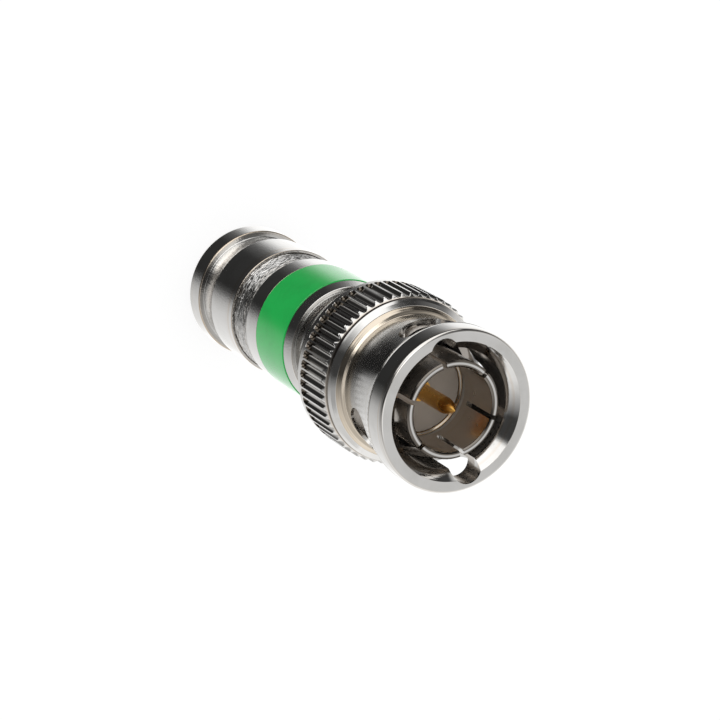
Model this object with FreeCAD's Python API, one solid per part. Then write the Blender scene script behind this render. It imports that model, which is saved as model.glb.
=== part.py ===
import FreeCAD, Part
import math
import os

# Compression-type BNC cable plug, in millimetres.
# +Z runs from the cable end, which is the standing face at z = 0, to the mating face.
# +Y points at one of the two bayonet entries.

# Fits and clearances
RUNNING_GAP = 0.06
SLIDING_GAP = 0.03
LOOSE_GAP = 0.10
FACE_GAP = 0.02
PRESS_RELIEF = 0.03
EDGE_BREAK = 0.08

# Cable: dielectric and conductor of a 6 mm coaxial cable
CABLE_DIELECTRIC_R = 1.85
CONDUCTOR_R = 0.41

# Bayonet nut, measured from its rear face: lip, taper, knurled grip
NUT_BORE_R = 4.95
NUT_LIP_HEIGHT = 0.65
NUT_LIP_LENGTH = 1.55
NUT_REAR_WALL = 1.28
NUT_TAPER_LENGTH = 1.98
KNURL_RISE = 0.99
KNURL_LENGTH = 4.15
KNURL_RING_DROP = 0.35
KNURL_RING_RISE = 0.35
VALLEY_COUNT = 56
VALLEY_R = 0.30
VALLEY_AXIS_OUT = 0.02
VALLEY_INSET = 0.40
VALLEY_LENGTH = 4.05
KNURL_LAND = 0.15
NECK_SHOULDER_LENGTH = 1.10
NECK_SHOULDER_BULGE = 0.06
THROAT_DROP = 0.15

# Bayonet nut, its front half: dish and flange, then the lug tracks measured back from the mouth
MOUTH_CHAMFER = 0.98
MOUTH_FLARE = 0.76
FLANGE_RISE = 0.83
FLANGE_LENGTH = 2.15
FLANGE_ROUND = 0.30
FLANGE_REAR_DROP = 0.07
DISH_LENGTH = 5.85
DISH_MID_RISE = 0.08
DISH_MID_BACK = 3.05
TRACK_COUNT = 2
TRACK_R = 1.20
TRACK_DEPTH = 0.65
TRACK_WALL = 0.30
ENTRY_AXIS_OUT = 0.10
ENTRY_LENGTH = 4.55
RAMP_DROP = 1.75
RAMP_ANGLE = 35.5
TRACK_ANGLE = 88.0
DETENT_LENGTH = 1.25
WINDOW_R = 2.05
WINDOW_SKIN = 0.35
WINDOW_STOP = 0.05
ENTRY_WINDOW_RISE = 1.15
ENTRY_WINDOW_START = 3.5
ENTRY_WINDOW_END = 13.0
DETENT_WINDOW_RISE = 1.00
DETENT_WINDOW_LEAD = 11.0

# Nut retention: washer, wave springs and the travel that they allow
THRUST_WASHER_THICKNESS = 0.28
NUT_FLOAT = 0.50
WAVE_RESERVE = 0.58
WAVE_COUNT = 3
WAVE_THICKNESS = 0.20
WASHER_COUNT = 2

# Front shell, outer contact and gasket
SHELL_FLANGE_LENGTH = 1.36
SHELL_HUB_LENGTH = 2.80
SHELL_HUB_WALL = 0.65
SHELL_FLOOR = 0.20
CONTACT_SPACE = 0.90
CONTACT_WALL = 0.55
CONTACT_SETBACK = 0.50
CONTACT_EDGE = 0.10
CONTACT_SLOT_COUNT = 6
CONTACT_SLOT_WIDTH = 0.38
CONTACT_SLOT_LENGTH = 4.00
RELIEF_DEPTH = 0.12
RELIEF_LENGTH = 0.75
GASKET_LENGTH = 0.90

# Centre contact and the insulators round it
PIN_R = 0.675
PIN_ROOT_RISE = 0.20
PIN_SHOULDER_RISE = 0.425
PIN_TIP_SETBACK = 0.35
PIN_CONE_LENGTH = 1.55
PIN_CONE_BULGE = 0.13
PIN_TIP_R = 0.06
PIN_SHOULDER_DEPTH = 3.45
PIN_SEAT_DEPTH = 2.79
PIN_SOCKET_END = 0.30
BASKET_WALL = 0.36
BASKET_SLOT_COUNT = 4
BASKET_SLOT_WIDTH = 0.16
BASKET_LENGTH = 4.50
BASKET_INSET = 0.60
INSULATOR_SETBACK = 5.95
INSULATOR_STEP_LENGTH = 2.24
REAR_INSULATOR_LENGTH = 3.70
GUIDE_LENGTH = 2.40
GUIDE_RIM = 1.75

# Main body and its colour band
JOURNAL_WALL = 0.75
COLLAR_RISE = 0.50
COLLAR_LENGTH = 3.50
BODY_NOSE_RISE = 0.40
BODY_NOSE_LENGTH = 0.92
BODY_RIB_DROP = 0.18
SHOULDER_RISE = 0.40
SHOULDER_LENGTH = 2.15
BAND_RISE = 0.02
BAND_WALL = 0.37
BAND_LENGTH = 5.33

# Compression sleeve
SLEEVE_RISE = 0.03
SLEEVE_WALL = 0.25
SLEEVE_END_RISE = 0.12
SLEEVE_NECK_DEPTH = 0.41
SLEEVE_END_LENGTH = 2.10
SLEEVE_NECK_LENGTH = 2.55
SLEEVE_LENGTH = 8.93
SLEEVE_END_WALL = 1.25
SLEEVE_STEP_Z = 4.60
INLET_CHAMFER = 0.25
COMPRESSION_STROKE = 2.95

# Body tail, the textured tube that the sleeve runs over
TAIL_STEP_RISE = 0.60
TAIL_WALL = 0.53
TAIL_NOSE_WALL = 0.50
TAIL_SPIGOT_LENGTH = 2.90
BODY_SEAL_SECTION_R = 0.23
BODY_SEAL_GROOVE_WIDTH = 0.60

# Grip ring and jacket seal that travel with the sleeve
TAIL_GRIP_GAP = 0.12
GRIP_WALL = 0.50
GRIP_SPIGOT_DROP = 0.20
GRIP_SPIGOT_LENGTH = 0.35
GRIP_LENGTH = 4.35
GRIP_NOSE_DROP = 0.30
GRIP_NOSE_LENGTH = 1.20
JACKET_SEAL_SECTION_R = 0.37
JACKET_SEAL_RISE = 0.75

# Post that goes between the cable's dielectric and its braid
POST_WALL = 0.35
POST_STEM_LENGTH = 11.60
POST_BARB_HEIGHT = 0.25
POST_BARB_LENGTH = 1.10
POST_BARB_COUNT = 2
POST_FLANGE_DROP = 0.75
POST_FLANGE_LENGTH = 1.60

# Radii of the nut and of what it holds, outwards and inwards from the nut's bore
TRACK_FLOOR_R = NUT_BORE_R + TRACK_DEPTH
ENTRY_AXIS_R = NUT_BORE_R + ENTRY_AXIS_OUT
WINDOW_FLOOR_R = NUT_BORE_R + WINDOW_SKIN
NECK_R = TRACK_FLOOR_R + TRACK_WALL
THROAT_R = NECK_R - THROAT_DROP
FLANGE_R = NECK_R + FLANGE_RISE
FLANGE_REAR_R = FLANGE_R - FLANGE_REAR_DROP
MOUTH_R = NUT_BORE_R + MOUTH_FLARE
NUT_REAR_R = NUT_BORE_R + NUT_REAR_WALL
KNURL_R = NUT_REAR_R + KNURL_RISE
KNURL_RING_R = KNURL_R - KNURL_RING_DROP
JOURNAL_R = NUT_BORE_R - NUT_LIP_HEIGHT
LIP_BORE_R = JOURNAL_R + RUNNING_GAP
WASHER_R = NUT_BORE_R - LOOSE_GAP
WAVE_HEIGHT = (NUT_FLOAT + WAVE_RESERVE) / (2.0 * WASHER_COUNT)
SHELL_FLANGE_R = NUT_BORE_R - LOOSE_GAP
CONTACT_R = NUT_BORE_R - CONTACT_SPACE
CONTACT_BORE_R = CONTACT_R - CONTACT_WALL
BODY_BORE_R = JOURNAL_R - JOURNAL_WALL
SHELL_BORE_R = BODY_BORE_R - SHELL_HUB_WALL
PIN_ROOT_R = PIN_R + PIN_ROOT_RISE
PIN_BODY_R = PIN_R + PIN_SHOULDER_RISE
PIN_SOCKET_R = CONDUCTOR_R + LOOSE_GAP + BASKET_WALL
GUIDE_MOUTH_R = BODY_BORE_R - GUIDE_RIM

# Radii of the body and the sleeve, from the journal back to the cable
COLLAR_R = JOURNAL_R + COLLAR_RISE
BODY_NOSE_R = COLLAR_R + BODY_NOSE_RISE
SHOULDER_R = BODY_NOSE_R + SHOULDER_RISE
BAND_R = SHOULDER_R + BAND_RISE
BAND_SEAT_R = BAND_R - BAND_WALL
SLEEVE_R = SHOULDER_R + SLEEVE_RISE
SLEEVE_END_R = SLEEVE_R + SLEEVE_END_RISE
SLEEVE_NECK_R = SLEEVE_R - SLEEVE_NECK_DEPTH
TAIL_R = SLEEVE_R - SLEEVE_WALL - SLIDING_GAP
TAIL_SPIGOT_R = TAIL_R - TAIL_STEP_RISE
TAIL_BORE_R = TAIL_SPIGOT_R - TAIL_WALL
TAIL_NOSE_R = TAIL_BORE_R + TAIL_NOSE_WALL
GRIP_R = TAIL_BORE_R - TAIL_GRIP_GAP
CABLE_INLET_R = GRIP_R - GRIP_WALL
SEAL_SEAT_R = CABLE_INLET_R + JACKET_SEAL_SECTION_R / 2.0
POST_BORE_R = CABLE_DIELECTRIC_R + LOOSE_GAP
POST_R = POST_BORE_R + POST_WALL
POST_FLANGE_R = TAIL_SPIGOT_R - POST_FLANGE_DROP

# Planes that follow from the sizes above, from the cable end to the mouth
JACKET_SEAL_Z = SLEEVE_END_WALL + JACKET_SEAL_RISE
TAIL_NOSE_Z = SLEEVE_END_WALL + COMPRESSION_STROKE + LOOSE_GAP
TAIL_STEP_Z = SLEEVE_STEP_Z + COMPRESSION_STROKE + LOOSE_GAP
SHOULDER_Z = SLEEVE_LENGTH + COMPRESSION_STROKE + FACE_GAP
BAND_REAR_Z = SHOULDER_Z + SHOULDER_LENGTH
BAND_FRONT_Z = BAND_REAR_Z + BAND_LENGTH
BODY_NOSE_Z = BAND_FRONT_Z + BODY_NOSE_LENGTH
COLLAR_TOP_Z = BODY_NOSE_Z + COLLAR_LENGTH
POST_FLANGE_Z = SHOULDER_Z + TAIL_SPIGOT_LENGTH
POST_FRONT_Z = POST_FLANGE_Z + POST_FLANGE_LENGTH
POST_END_Z = POST_FLANGE_Z - POST_STEM_LENGTH
NUT_REAR_Z = COLLAR_TOP_Z + FACE_GAP
LIP_FRONT_Z = NUT_REAR_Z + NUT_LIP_LENGTH
KNURL_REAR_Z = NUT_REAR_Z + NUT_TAPER_LENGTH
KNURL_FRONT_Z = KNURL_REAR_Z + KNURL_LENGTH
VALLEY_REAR_Z = KNURL_REAR_Z + VALLEY_INSET
KNURL_RING_Z = KNURL_FRONT_Z + KNURL_RING_RISE
NECK_REAR_Z = KNURL_RING_Z + NECK_SHOULDER_LENGTH
FLANGE_REAR_Z = NECK_REAR_Z + DISH_LENGTH
NUT_FRONT_Z = FLANGE_REAR_Z + FLANGE_LENGTH
ENTRY_END_Z = NUT_FRONT_Z - ENTRY_LENGTH
RAMP_END_Z = ENTRY_END_Z - RAMP_DROP
THRUST_Z = LIP_FRONT_Z + FACE_GAP
WAVE_Z = THRUST_Z + THRUST_WASHER_THICKNESS + FACE_GAP
WAVE_PITCH = WAVE_THICKNESS + 2.0 * WAVE_HEIGHT + FACE_GAP
SHELL_Z = WAVE_Z + WASHER_COUNT * WAVE_PITCH
SHELL_FRONT_Z = SHELL_Z + SHELL_FLANGE_LENGTH
SHELL_HUB_Z = SHELL_Z - SHELL_HUB_LENGTH
CONTACT_BASE_Z = SHELL_Z + SHELL_FLOOR
CONTACT_FRONT_Z = NUT_FRONT_Z - CONTACT_SETBACK
INSULATOR_FACE_Z = NUT_FRONT_Z - INSULATOR_SETBACK
INSULATOR_REAR_Z = CONTACT_BASE_Z - INSULATOR_STEP_LENGTH
PIN_TIP_Z = NUT_FRONT_Z - PIN_TIP_SETBACK
PIN_SHOULDER_Z = INSULATOR_FACE_Z - PIN_SHOULDER_DEPTH
REAR_INSULATOR_FRONT_Z = SHELL_HUB_Z - FACE_GAP
REAR_INSULATOR_Z = REAR_INSULATOR_FRONT_Z - REAR_INSULATOR_LENGTH
PIN_REAR_Z = REAR_INSULATOR_FRONT_Z - PIN_SEAT_DEPTH
GUIDE_Z = REAR_INSULATOR_Z - GUIDE_LENGTH


def point(radius, height):
    """Point of a turned outline, in the half plane y = 0."""
    return FreeCAD.Vector(radius, 0.0, height)


def turned(outline):
    """Solid of revolution about Z.

    The outline is a closed list of (radius, height) points. A point given as
    (radius, height, mid_radius, mid_height) is reached by an arc through the mid point.
    """
    edges = []
    for start, end in zip(outline, outline[1:] + outline[:1]):
        first = point(start[0], start[1])
        last = point(end[0], end[1])
        if len(end) == 4:
            edges.append(Part.Arc(first, point(end[2], end[3]), last).toShape())
        else:
            edges.append(Part.LineSegment(first, last).toShape())
    face = Part.Face(Part.Wire(edges))
    return face.revolve(FreeCAD.Vector(0, 0, 0), FreeCAD.Vector(0, 0, 1), 360)


def tube(inner, outer, bottom, top):
    """Plain ring between two radii and two heights."""
    return turned([(inner, bottom), (outer, bottom), (outer, top), (inner, top)])


def turned_about_z(shape, degrees):
    """Copy of a shape turned about the plug's axis."""
    copy = shape.copy()
    copy.rotate(FreeCAD.Vector(0, 0, 0), FreeCAD.Vector(0, 0, 1), degrees)
    return copy


def spread(shape, count, first_degrees=0.0):
    """Equally spaced copies of a shape round the axis, as one compound."""
    step = 360.0 / count
    return Part.makeCompound([turned_about_z(shape, first_degrees + i * step) for i in range(count)])


def ring_seal(centre_radius, section_radius, height):
    """Round-section sealing ring."""
    seal = Part.makeTorus(centre_radius, section_radius)
    seal.translate(FreeCAD.Vector(0, 0, height))
    return seal


def radial_slot(width, bottom, top, reach):
    """Cutter for one axial slot on the +X side, round at its bottom end."""
    half = width / 2.0
    box = Part.makeBox(reach, width, top - bottom - half)
    box.translate(FreeCAD.Vector(0, -half, bottom + half))
    end = Part.makeCylinder(half, reach, FreeCAD.Vector(0, 0, bottom + half), FreeCAD.Vector(1, 0, 0))
    return box.fuse(end)


def knurl_valley():
    """Cutter for one straight valley of the grip, on the +X side, square behind and round in front."""
    axis_r = KNURL_R + VALLEY_AXIS_OUT
    length = VALLEY_LENGTH - VALLEY_R
    groove = Part.makeCylinder(VALLEY_R, length, point(axis_r, VALLEY_REAR_Z))
    return groove.fuse(Part.makeSphere(VALLEY_R, point(axis_r, VALLEY_REAR_Z + length)))


def radial_cutter(height, reach):
    """Round cutter of the lug track's width that points along +Y."""
    return Part.makeCylinder(TRACK_R, reach, FreeCAD.Vector(0, 0, height), FreeCAD.Vector(0, 1, 0))


def track_ramp():
    """Inclined stretch of the lug track, swept clockwise (seen from the mouth) from +Y."""
    pitch = RAMP_DROP * 360.0 / RAMP_ANGLE
    path = Part.makeHelix(pitch, RAMP_DROP, ENTRY_AXIS_R)
    inner = ENTRY_AXIS_R / 2.0
    outer = KNURL_R
    section = Part.makePolygon([
        point(inner, -TRACK_R),
        point(outer, -TRACK_R),
        point(outer, TRACK_R),
        point(inner, TRACK_R),
        point(inner, -TRACK_R),
    ])
    sweep = Part.Wire(path.Edges).makePipeShell([section], True, True)
    sweep.translate(FreeCAD.Vector(0, 0, RAMP_END_Z))
    return turned_about_z(sweep, 90.0 - RAMP_ANGLE)


def track_level():
    """Level stretch of the lug track between the ramp's foot and the detent."""
    sweep = TRACK_ANGLE - RAMP_ANGLE
    inner = ENTRY_AXIS_R / 2.0
    section = Part.Face(Part.makePolygon([
        point(inner, RAMP_END_Z - TRACK_R),
        point(KNURL_R, RAMP_END_Z - TRACK_R),
        point(KNURL_R, RAMP_END_Z + TRACK_R),
        point(inner, RAMP_END_Z + TRACK_R),
        point(inner, RAMP_END_Z - TRACK_R),
    ]))
    level = section.revolve(FreeCAD.Vector(0, 0, 0), FreeCAD.Vector(0, 0, 1), sweep)
    return turned_about_z(level, 90.0 - TRACK_ANGLE)


def track_detent():
    """Pocket at the track's end, where the lug springs back."""
    low = radial_cutter(RAMP_END_Z, KNURL_R)
    high = radial_cutter(RAMP_END_Z + DETENT_LENGTH, KNURL_R)
    middle = Part.makeBox(2.0 * TRACK_R, KNURL_R, DETENT_LENGTH)
    middle.translate(FreeCAD.Vector(-TRACK_R, 0, RAMP_END_Z))
    return turned_about_z(low.multiFuse([high, middle]), -TRACK_ANGLE)


def track_entry():
    """Round-bottomed groove that takes a lug in from the mouth, on the +Y side."""
    start = FreeCAD.Vector(0, ENTRY_AXIS_R, ENTRY_END_Z)
    groove = Part.makeCylinder(TRACK_R, ENTRY_LENGTH + TRACK_R, start)
    return groove.fuse(Part.makeSphere(TRACK_R, start))


def track_window(height, degrees):
    """Round window milled from outside behind the flange, down to a thin skin over the bore."""
    start = FreeCAD.Vector(0, WINDOW_FLOOR_R, height)
    drill = Part.makeCylinder(WINDOW_R, KNURL_R, start, FreeCAD.Vector(0, 1, 0))
    behind_flange = Part.makeCylinder(2.0 * KNURL_R, FLANGE_REAR_Z - WINDOW_STOP)
    return turned_about_z(drill.common(behind_flange), degrees)


def bayonet_track():
    """Everything that is cut away for one lug."""
    floor = Part.makeCylinder(TRACK_FLOOR_R, NUT_FRONT_Z)
    foot = turned_about_z(radial_cutter(RAMP_END_Z, KNURL_R), -RAMP_ANGLE)
    corner = radial_cutter(ENTRY_END_Z, KNURL_R)
    channel = track_ramp().multiFuse([track_level(), foot, corner, track_detent()]).common(floor)
    entry_window_z = ENTRY_END_Z + ENTRY_WINDOW_RISE
    return channel.multiFuse([
        track_entry(),
        track_window(entry_window_z, -ENTRY_WINDOW_START),
        track_window(entry_window_z, -ENTRY_WINDOW_END),
        track_window(RAMP_END_Z + DETENT_WINDOW_RISE, DETENT_WINDOW_LEAD - TRACK_ANGLE),
    ])


def coupling_nut():
    """Bayonet nut: knurled grip, dished neck, flange, two lug tracks."""
    round_mid = FLANGE_ROUND - FLANGE_ROUND * math.sqrt(0.5)
    land_z = KNURL_RING_Z + KNURL_LAND
    shoulder_mid_r = (KNURL_RING_R + THROAT_R) / 2.0 + NECK_SHOULDER_BULGE
    shoulder_mid_z = (land_z + NECK_REAR_Z) / 2.0
    blank = turned([
        (LIP_BORE_R, NUT_REAR_Z),
        (NUT_REAR_R - EDGE_BREAK, NUT_REAR_Z),
        (NUT_REAR_R, NUT_REAR_Z + EDGE_BREAK),
        (KNURL_R, KNURL_REAR_Z),
        (KNURL_R, KNURL_FRONT_Z),
        (KNURL_RING_R, KNURL_RING_Z),
        (KNURL_RING_R, land_z),
        (THROAT_R, NECK_REAR_Z, shoulder_mid_r, shoulder_mid_z),
        (FLANGE_REAR_R, FLANGE_REAR_Z, NECK_R + DISH_MID_RISE, FLANGE_REAR_Z - DISH_MID_BACK),
        (FLANGE_R, FLANGE_REAR_Z + FLANGE_ROUND),
        (FLANGE_R, NUT_FRONT_Z - FLANGE_ROUND),
        (FLANGE_R - FLANGE_ROUND, NUT_FRONT_Z, FLANGE_R - round_mid, NUT_FRONT_Z - round_mid),
        (MOUTH_R, NUT_FRONT_Z),
        (NUT_BORE_R, NUT_FRONT_Z - MOUTH_CHAMFER),
        (NUT_BORE_R, LIP_FRONT_Z),
        (LIP_BORE_R, LIP_FRONT_Z),
    ])
    valleys = spread(knurl_valley(), VALLEY_COUNT, 180.0 / VALLEY_COUNT)
    return blank.cut(spread(bayonet_track(), TRACK_COUNT)).cut(valleys)


def thrust_washer():
    """Flat washer between the nut's lip and the wave springs."""
    return tube(LIP_BORE_R, WASHER_R, THRUST_Z, THRUST_Z + THRUST_WASHER_THICKNESS)


def wave_washer(bottom, phase):
    """One wave spring: a flat ring bent into equal waves."""
    samples = 8 * WAVE_COUNT

    def rim(radius, height):
        points = []
        for i in range(samples):
            angle = 2.0 * math.pi * i / samples
            wave = WAVE_HEIGHT * (1.0 + math.cos(WAVE_COUNT * angle + phase))
            points.append(FreeCAD.Vector(
                radius * math.cos(angle),
                radius * math.sin(angle),
                bottom + height + wave,
            ))
        curve = Part.BSplineCurve()
        curve.interpolate(Points=points, PeriodicFlag=True)
        return curve.toShape()

    inner_low = rim(LIP_BORE_R, 0.0)
    outer_low = rim(WASHER_R, 0.0)
    inner_high = rim(LIP_BORE_R, WAVE_THICKNESS)
    outer_high = rim(WASHER_R, WAVE_THICKNESS)
    pairs = [
        (inner_low, outer_low),
        (outer_low, outer_high),
        (outer_high, inner_high),
        (inner_high, inner_low),
    ]
    shell = Part.makeShell([Part.makeRuledSurface(first, second) for first, second in pairs])
    shell.sewShape()
    solid = Part.Solid(shell)
    if solid.Volume < 0:
        solid.reverse()
    return solid


def wave_washers():
    """The pair of wave springs, crest to crest."""
    springs = []
    for i in range(WASHER_COUNT):
        springs.append(wave_washer(WAVE_Z + i * WAVE_PITCH, i * math.pi))
    return Part.makeCompound(springs)


def front_shell():
    """Flanged bush that carries the outer contact and keeps the nut on."""
    return turned([
        (SHELL_BORE_R, SHELL_HUB_Z),
        (BODY_BORE_R - EDGE_BREAK, SHELL_HUB_Z),
        (BODY_BORE_R, SHELL_HUB_Z + EDGE_BREAK),
        (BODY_BORE_R, SHELL_Z),
        (SHELL_FLANGE_R, SHELL_Z),
        (SHELL_FLANGE_R, SHELL_FRONT_Z - EDGE_BREAK),
        (SHELL_FLANGE_R - EDGE_BREAK, SHELL_FRONT_Z),
        (CONTACT_R, SHELL_FRONT_Z),
        (CONTACT_R, CONTACT_BASE_Z),
        (SHELL_BORE_R, CONTACT_BASE_Z),
    ])


def outer_contact():
    """Slotted spring sleeve that goes inside the mating jack."""
    relief_top = INSULATOR_FACE_Z + RELIEF_LENGTH
    sleeve = turned([
        (CONTACT_BORE_R, CONTACT_BASE_Z),
        (CONTACT_R, CONTACT_BASE_Z),
        (CONTACT_R, CONTACT_FRONT_Z - CONTACT_EDGE),
        (CONTACT_R - CONTACT_EDGE, CONTACT_FRONT_Z),
        (CONTACT_BORE_R + CONTACT_EDGE, CONTACT_FRONT_Z),
        (CONTACT_BORE_R, CONTACT_FRONT_Z - CONTACT_EDGE),
        (CONTACT_BORE_R, relief_top + RELIEF_DEPTH),
        (CONTACT_BORE_R + RELIEF_DEPTH, relief_top),
        (CONTACT_BORE_R + RELIEF_DEPTH, INSULATOR_FACE_Z),
        (CONTACT_BORE_R, INSULATOR_FACE_Z),
    ])
    slot = radial_slot(
        CONTACT_SLOT_WIDTH,
        CONTACT_FRONT_Z - CONTACT_SLOT_LENGTH,
        NUT_FRONT_Z,
        SHELL_FLANGE_R,
    )
    return sleeve.cut(spread(slot, CONTACT_SLOT_COUNT, 180.0 / CONTACT_SLOT_COUNT))


def mating_gasket():
    """Soft ring at the foot of the outer contact, pressed by the mating jack."""
    return tube(CONTACT_R, SHELL_FLANGE_R - EDGE_BREAK, SHELL_FRONT_Z, SHELL_FRONT_Z + GASKET_LENGTH)


def front_insulator():
    """Stepped insulator whose white face shows inside the outer contact."""
    outer = CONTACT_BORE_R - PRESS_RELIEF
    step = SHELL_BORE_R - PRESS_RELIEF
    return turned([
        (PIN_BODY_R, INSULATOR_REAR_Z),
        (step, INSULATOR_REAR_Z),
        (step, CONTACT_BASE_Z),
        (outer, CONTACT_BASE_Z),
        (outer, INSULATOR_FACE_Z - EDGE_BREAK),
        (outer - EDGE_BREAK, INSULATOR_FACE_Z),
        (PIN_ROOT_R, INSULATOR_FACE_Z),
        (PIN_ROOT_R, PIN_SHOULDER_Z),
        (PIN_BODY_R, PIN_SHOULDER_Z),
    ])


def contact_pin():
    """Centre contact: pointed pin in front, conductor socket behind."""
    cone_z = PIN_TIP_Z - PIN_CONE_LENGTH
    mid_r = (PIN_R + PIN_TIP_R) / 2.0 + PIN_CONE_BULGE
    mid_z = (cone_z + PIN_TIP_Z) / 2.0
    socket_z = PIN_REAR_Z + BASKET_INSET + BASKET_LENGTH + PIN_SOCKET_END
    return turned([
        (PIN_SOCKET_R, PIN_REAR_Z),
        (PIN_BODY_R, PIN_REAR_Z),
        (PIN_BODY_R, PIN_SHOULDER_Z),
        (PIN_ROOT_R, PIN_SHOULDER_Z),
        (PIN_ROOT_R, INSULATOR_FACE_Z),
        (PIN_R, INSULATOR_FACE_Z),
        (PIN_R, cone_z),
        (PIN_TIP_R, PIN_TIP_Z, mid_r, mid_z),
        (0.0, PIN_TIP_Z),
        (0.0, socket_z + PIN_SOCKET_R),
        (PIN_SOCKET_R, socket_z),
    ])


def contact_basket():
    """Slotted spring bush inside the pin's socket that grips the conductor."""
    bottom = PIN_REAR_Z + BASKET_INSET
    inner = PIN_SOCKET_R - BASKET_WALL
    bush = tube(inner, PIN_SOCKET_R, bottom, bottom + BASKET_LENGTH)
    slot_z = bottom + BASKET_LENGTH / 4.0
    slot = radial_slot(BASKET_SLOT_WIDTH, slot_z, slot_z + BASKET_LENGTH, PIN_BODY_R)
    return bush.cut(spread(slot, BASKET_SLOT_COUNT))


def rear_insulator():
    """Bush that centres the pin's rear end in the body."""
    outer = BODY_BORE_R - PRESS_RELIEF
    return turned([
        (CONDUCTOR_R + LOOSE_GAP, REAR_INSULATOR_Z),
        (outer, REAR_INSULATOR_Z),
        (outer, REAR_INSULATOR_FRONT_Z),
        (PIN_BODY_R, REAR_INSULATOR_FRONT_Z),
        (PIN_BODY_R, PIN_REAR_Z),
        (CONDUCTOR_R + LOOSE_GAP, PIN_REAR_Z),
    ])


def conductor_guide():
    """Funnel that leads the conductor into the pin."""
    outer = BODY_BORE_R - PRESS_RELIEF
    inner = CONDUCTOR_R + LOOSE_GAP
    throat_z = GUIDE_Z + GUIDE_MOUTH_R - inner
    return turned([
        (GUIDE_MOUTH_R, GUIDE_Z),
        (outer, GUIDE_Z),
        (outer, REAR_INSULATOR_Z),
        (inner, REAR_INSULATOR_Z),
        (inner, throat_z),
    ])


def dielectric_stop():
    """Spacer bush between the post and the guide, where the dielectric ends."""
    return tube(POST_BORE_R, BODY_BORE_R - PRESS_RELIEF, POST_FRONT_Z, GUIDE_Z)


def post():
    """Barbed post with a pressed-in flange."""
    outline = [(POST_BORE_R, POST_END_Z)]
    height = POST_END_Z
    for _ in range(POST_BARB_COUNT):
        outline.append((POST_R, height))
        outline.append((POST_R + POST_BARB_HEIGHT, height + POST_BARB_LENGTH))
        height = height + POST_BARB_LENGTH
    outline.append((POST_R, height))
    outline.append((POST_R, POST_FLANGE_Z))
    outline.append((POST_FLANGE_R, POST_FLANGE_Z))
    outline.append((POST_FLANGE_R, POST_FRONT_Z))
    outline.append((POST_BORE_R, POST_FRONT_Z))
    return turned(outline)


def main_body():
    """Body with the seat of the colour band, the collar and the nut's journal."""
    return turned([
        (TAIL_SPIGOT_R, SHOULDER_Z),
        (SHOULDER_R - EDGE_BREAK, SHOULDER_Z),
        (SHOULDER_R, SHOULDER_Z + EDGE_BREAK),
        (SHOULDER_R, BAND_REAR_Z),
        (BAND_SEAT_R, BAND_REAR_Z),
        (BAND_SEAT_R, BAND_FRONT_Z),
        (SHOULDER_R - EDGE_BREAK, BAND_FRONT_Z),
        (BODY_NOSE_R, BODY_NOSE_Z),
        (COLLAR_R, BODY_NOSE_Z - BODY_RIB_DROP),
        (COLLAR_R, COLLAR_TOP_Z),
        (JOURNAL_R, COLLAR_TOP_Z),
        (JOURNAL_R, SHELL_Z),
        (BODY_BORE_R, SHELL_Z),
        (BODY_BORE_R, POST_FRONT_Z),
        (POST_FLANGE_R, POST_FRONT_Z),
        (POST_FLANGE_R, POST_FLANGE_Z),
        (TAIL_SPIGOT_R, POST_FLANGE_Z),
    ])


def colour_band():
    """Plastic ring that tells the cable size by its colour."""
    return tube(BAND_SEAT_R, BAND_R, BAND_REAR_Z, BAND_FRONT_Z)


def body_seal_z():
    """Height of the seal between tail and sleeve, midway in their overlap."""
    return (TAIL_STEP_Z + SLEEVE_LENGTH) / 2.0


def body_tail():
    """Textured tube that the compression sleeve runs over."""
    groove_r = TAIL_R - 2.0 * BODY_SEAL_SECTION_R
    groove_low = body_seal_z() - BODY_SEAL_GROOVE_WIDTH / 2.0
    groove_high = body_seal_z() + BODY_SEAL_GROOVE_WIDTH / 2.0
    return turned([
        (TAIL_BORE_R, TAIL_NOSE_Z),
        (TAIL_NOSE_R, TAIL_NOSE_Z),
        (TAIL_NOSE_R, TAIL_STEP_Z),
        (TAIL_R, TAIL_STEP_Z),
        (TAIL_R, groove_low),
        (groove_r, groove_low),
        (groove_r, groove_high),
        (TAIL_R, groove_high),
        (TAIL_R, SHOULDER_Z),
        (TAIL_SPIGOT_R, SHOULDER_Z),
        (TAIL_SPIGOT_R, POST_FLANGE_Z),
        (TAIL_BORE_R, POST_FLANGE_Z),
    ])


def body_seal():
    """Seal ring in the tail's groove."""
    return ring_seal(TAIL_R - BODY_SEAL_SECTION_R, BODY_SEAL_SECTION_R, body_seal_z())


def compression_sleeve():
    """Outer sleeve that is pushed forward over the tail to grip the cable."""
    neck_top = SLEEVE_END_LENGTH + SLEEVE_NECK_LENGTH
    bore_r = TAIL_R + SLIDING_GAP
    nose_bore_r = TAIL_NOSE_R + RUNNING_GAP
    recess_r = GRIP_R - GRIP_SPIGOT_DROP
    recess_z = SLEEVE_END_WALL - GRIP_SPIGOT_LENGTH
    return turned([
        (CABLE_INLET_R + INLET_CHAMFER, 0.0),
        (SLEEVE_END_R - 2.0 * EDGE_BREAK, 0.0),
        (SLEEVE_END_R, 2.0 * EDGE_BREAK),
        (SLEEVE_END_R, SLEEVE_END_LENGTH - EDGE_BREAK),
        (SLEEVE_END_R - EDGE_BREAK, SLEEVE_END_LENGTH),
        (SLEEVE_NECK_R, SLEEVE_END_LENGTH),
        (SLEEVE_R, neck_top),
        (SLEEVE_R, SLEEVE_LENGTH - EDGE_BREAK),
        (SLEEVE_R - EDGE_BREAK, SLEEVE_LENGTH),
        (bore_r, SLEEVE_LENGTH),
        (bore_r, SLEEVE_STEP_Z),
        (nose_bore_r, SLEEVE_STEP_Z),
        (nose_bore_r, SLEEVE_END_WALL),
        (recess_r, SLEEVE_END_WALL),
        (recess_r, recess_z),
        (CABLE_INLET_R, recess_z),
        (CABLE_INLET_R, INLET_CHAMFER),
    ])


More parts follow.
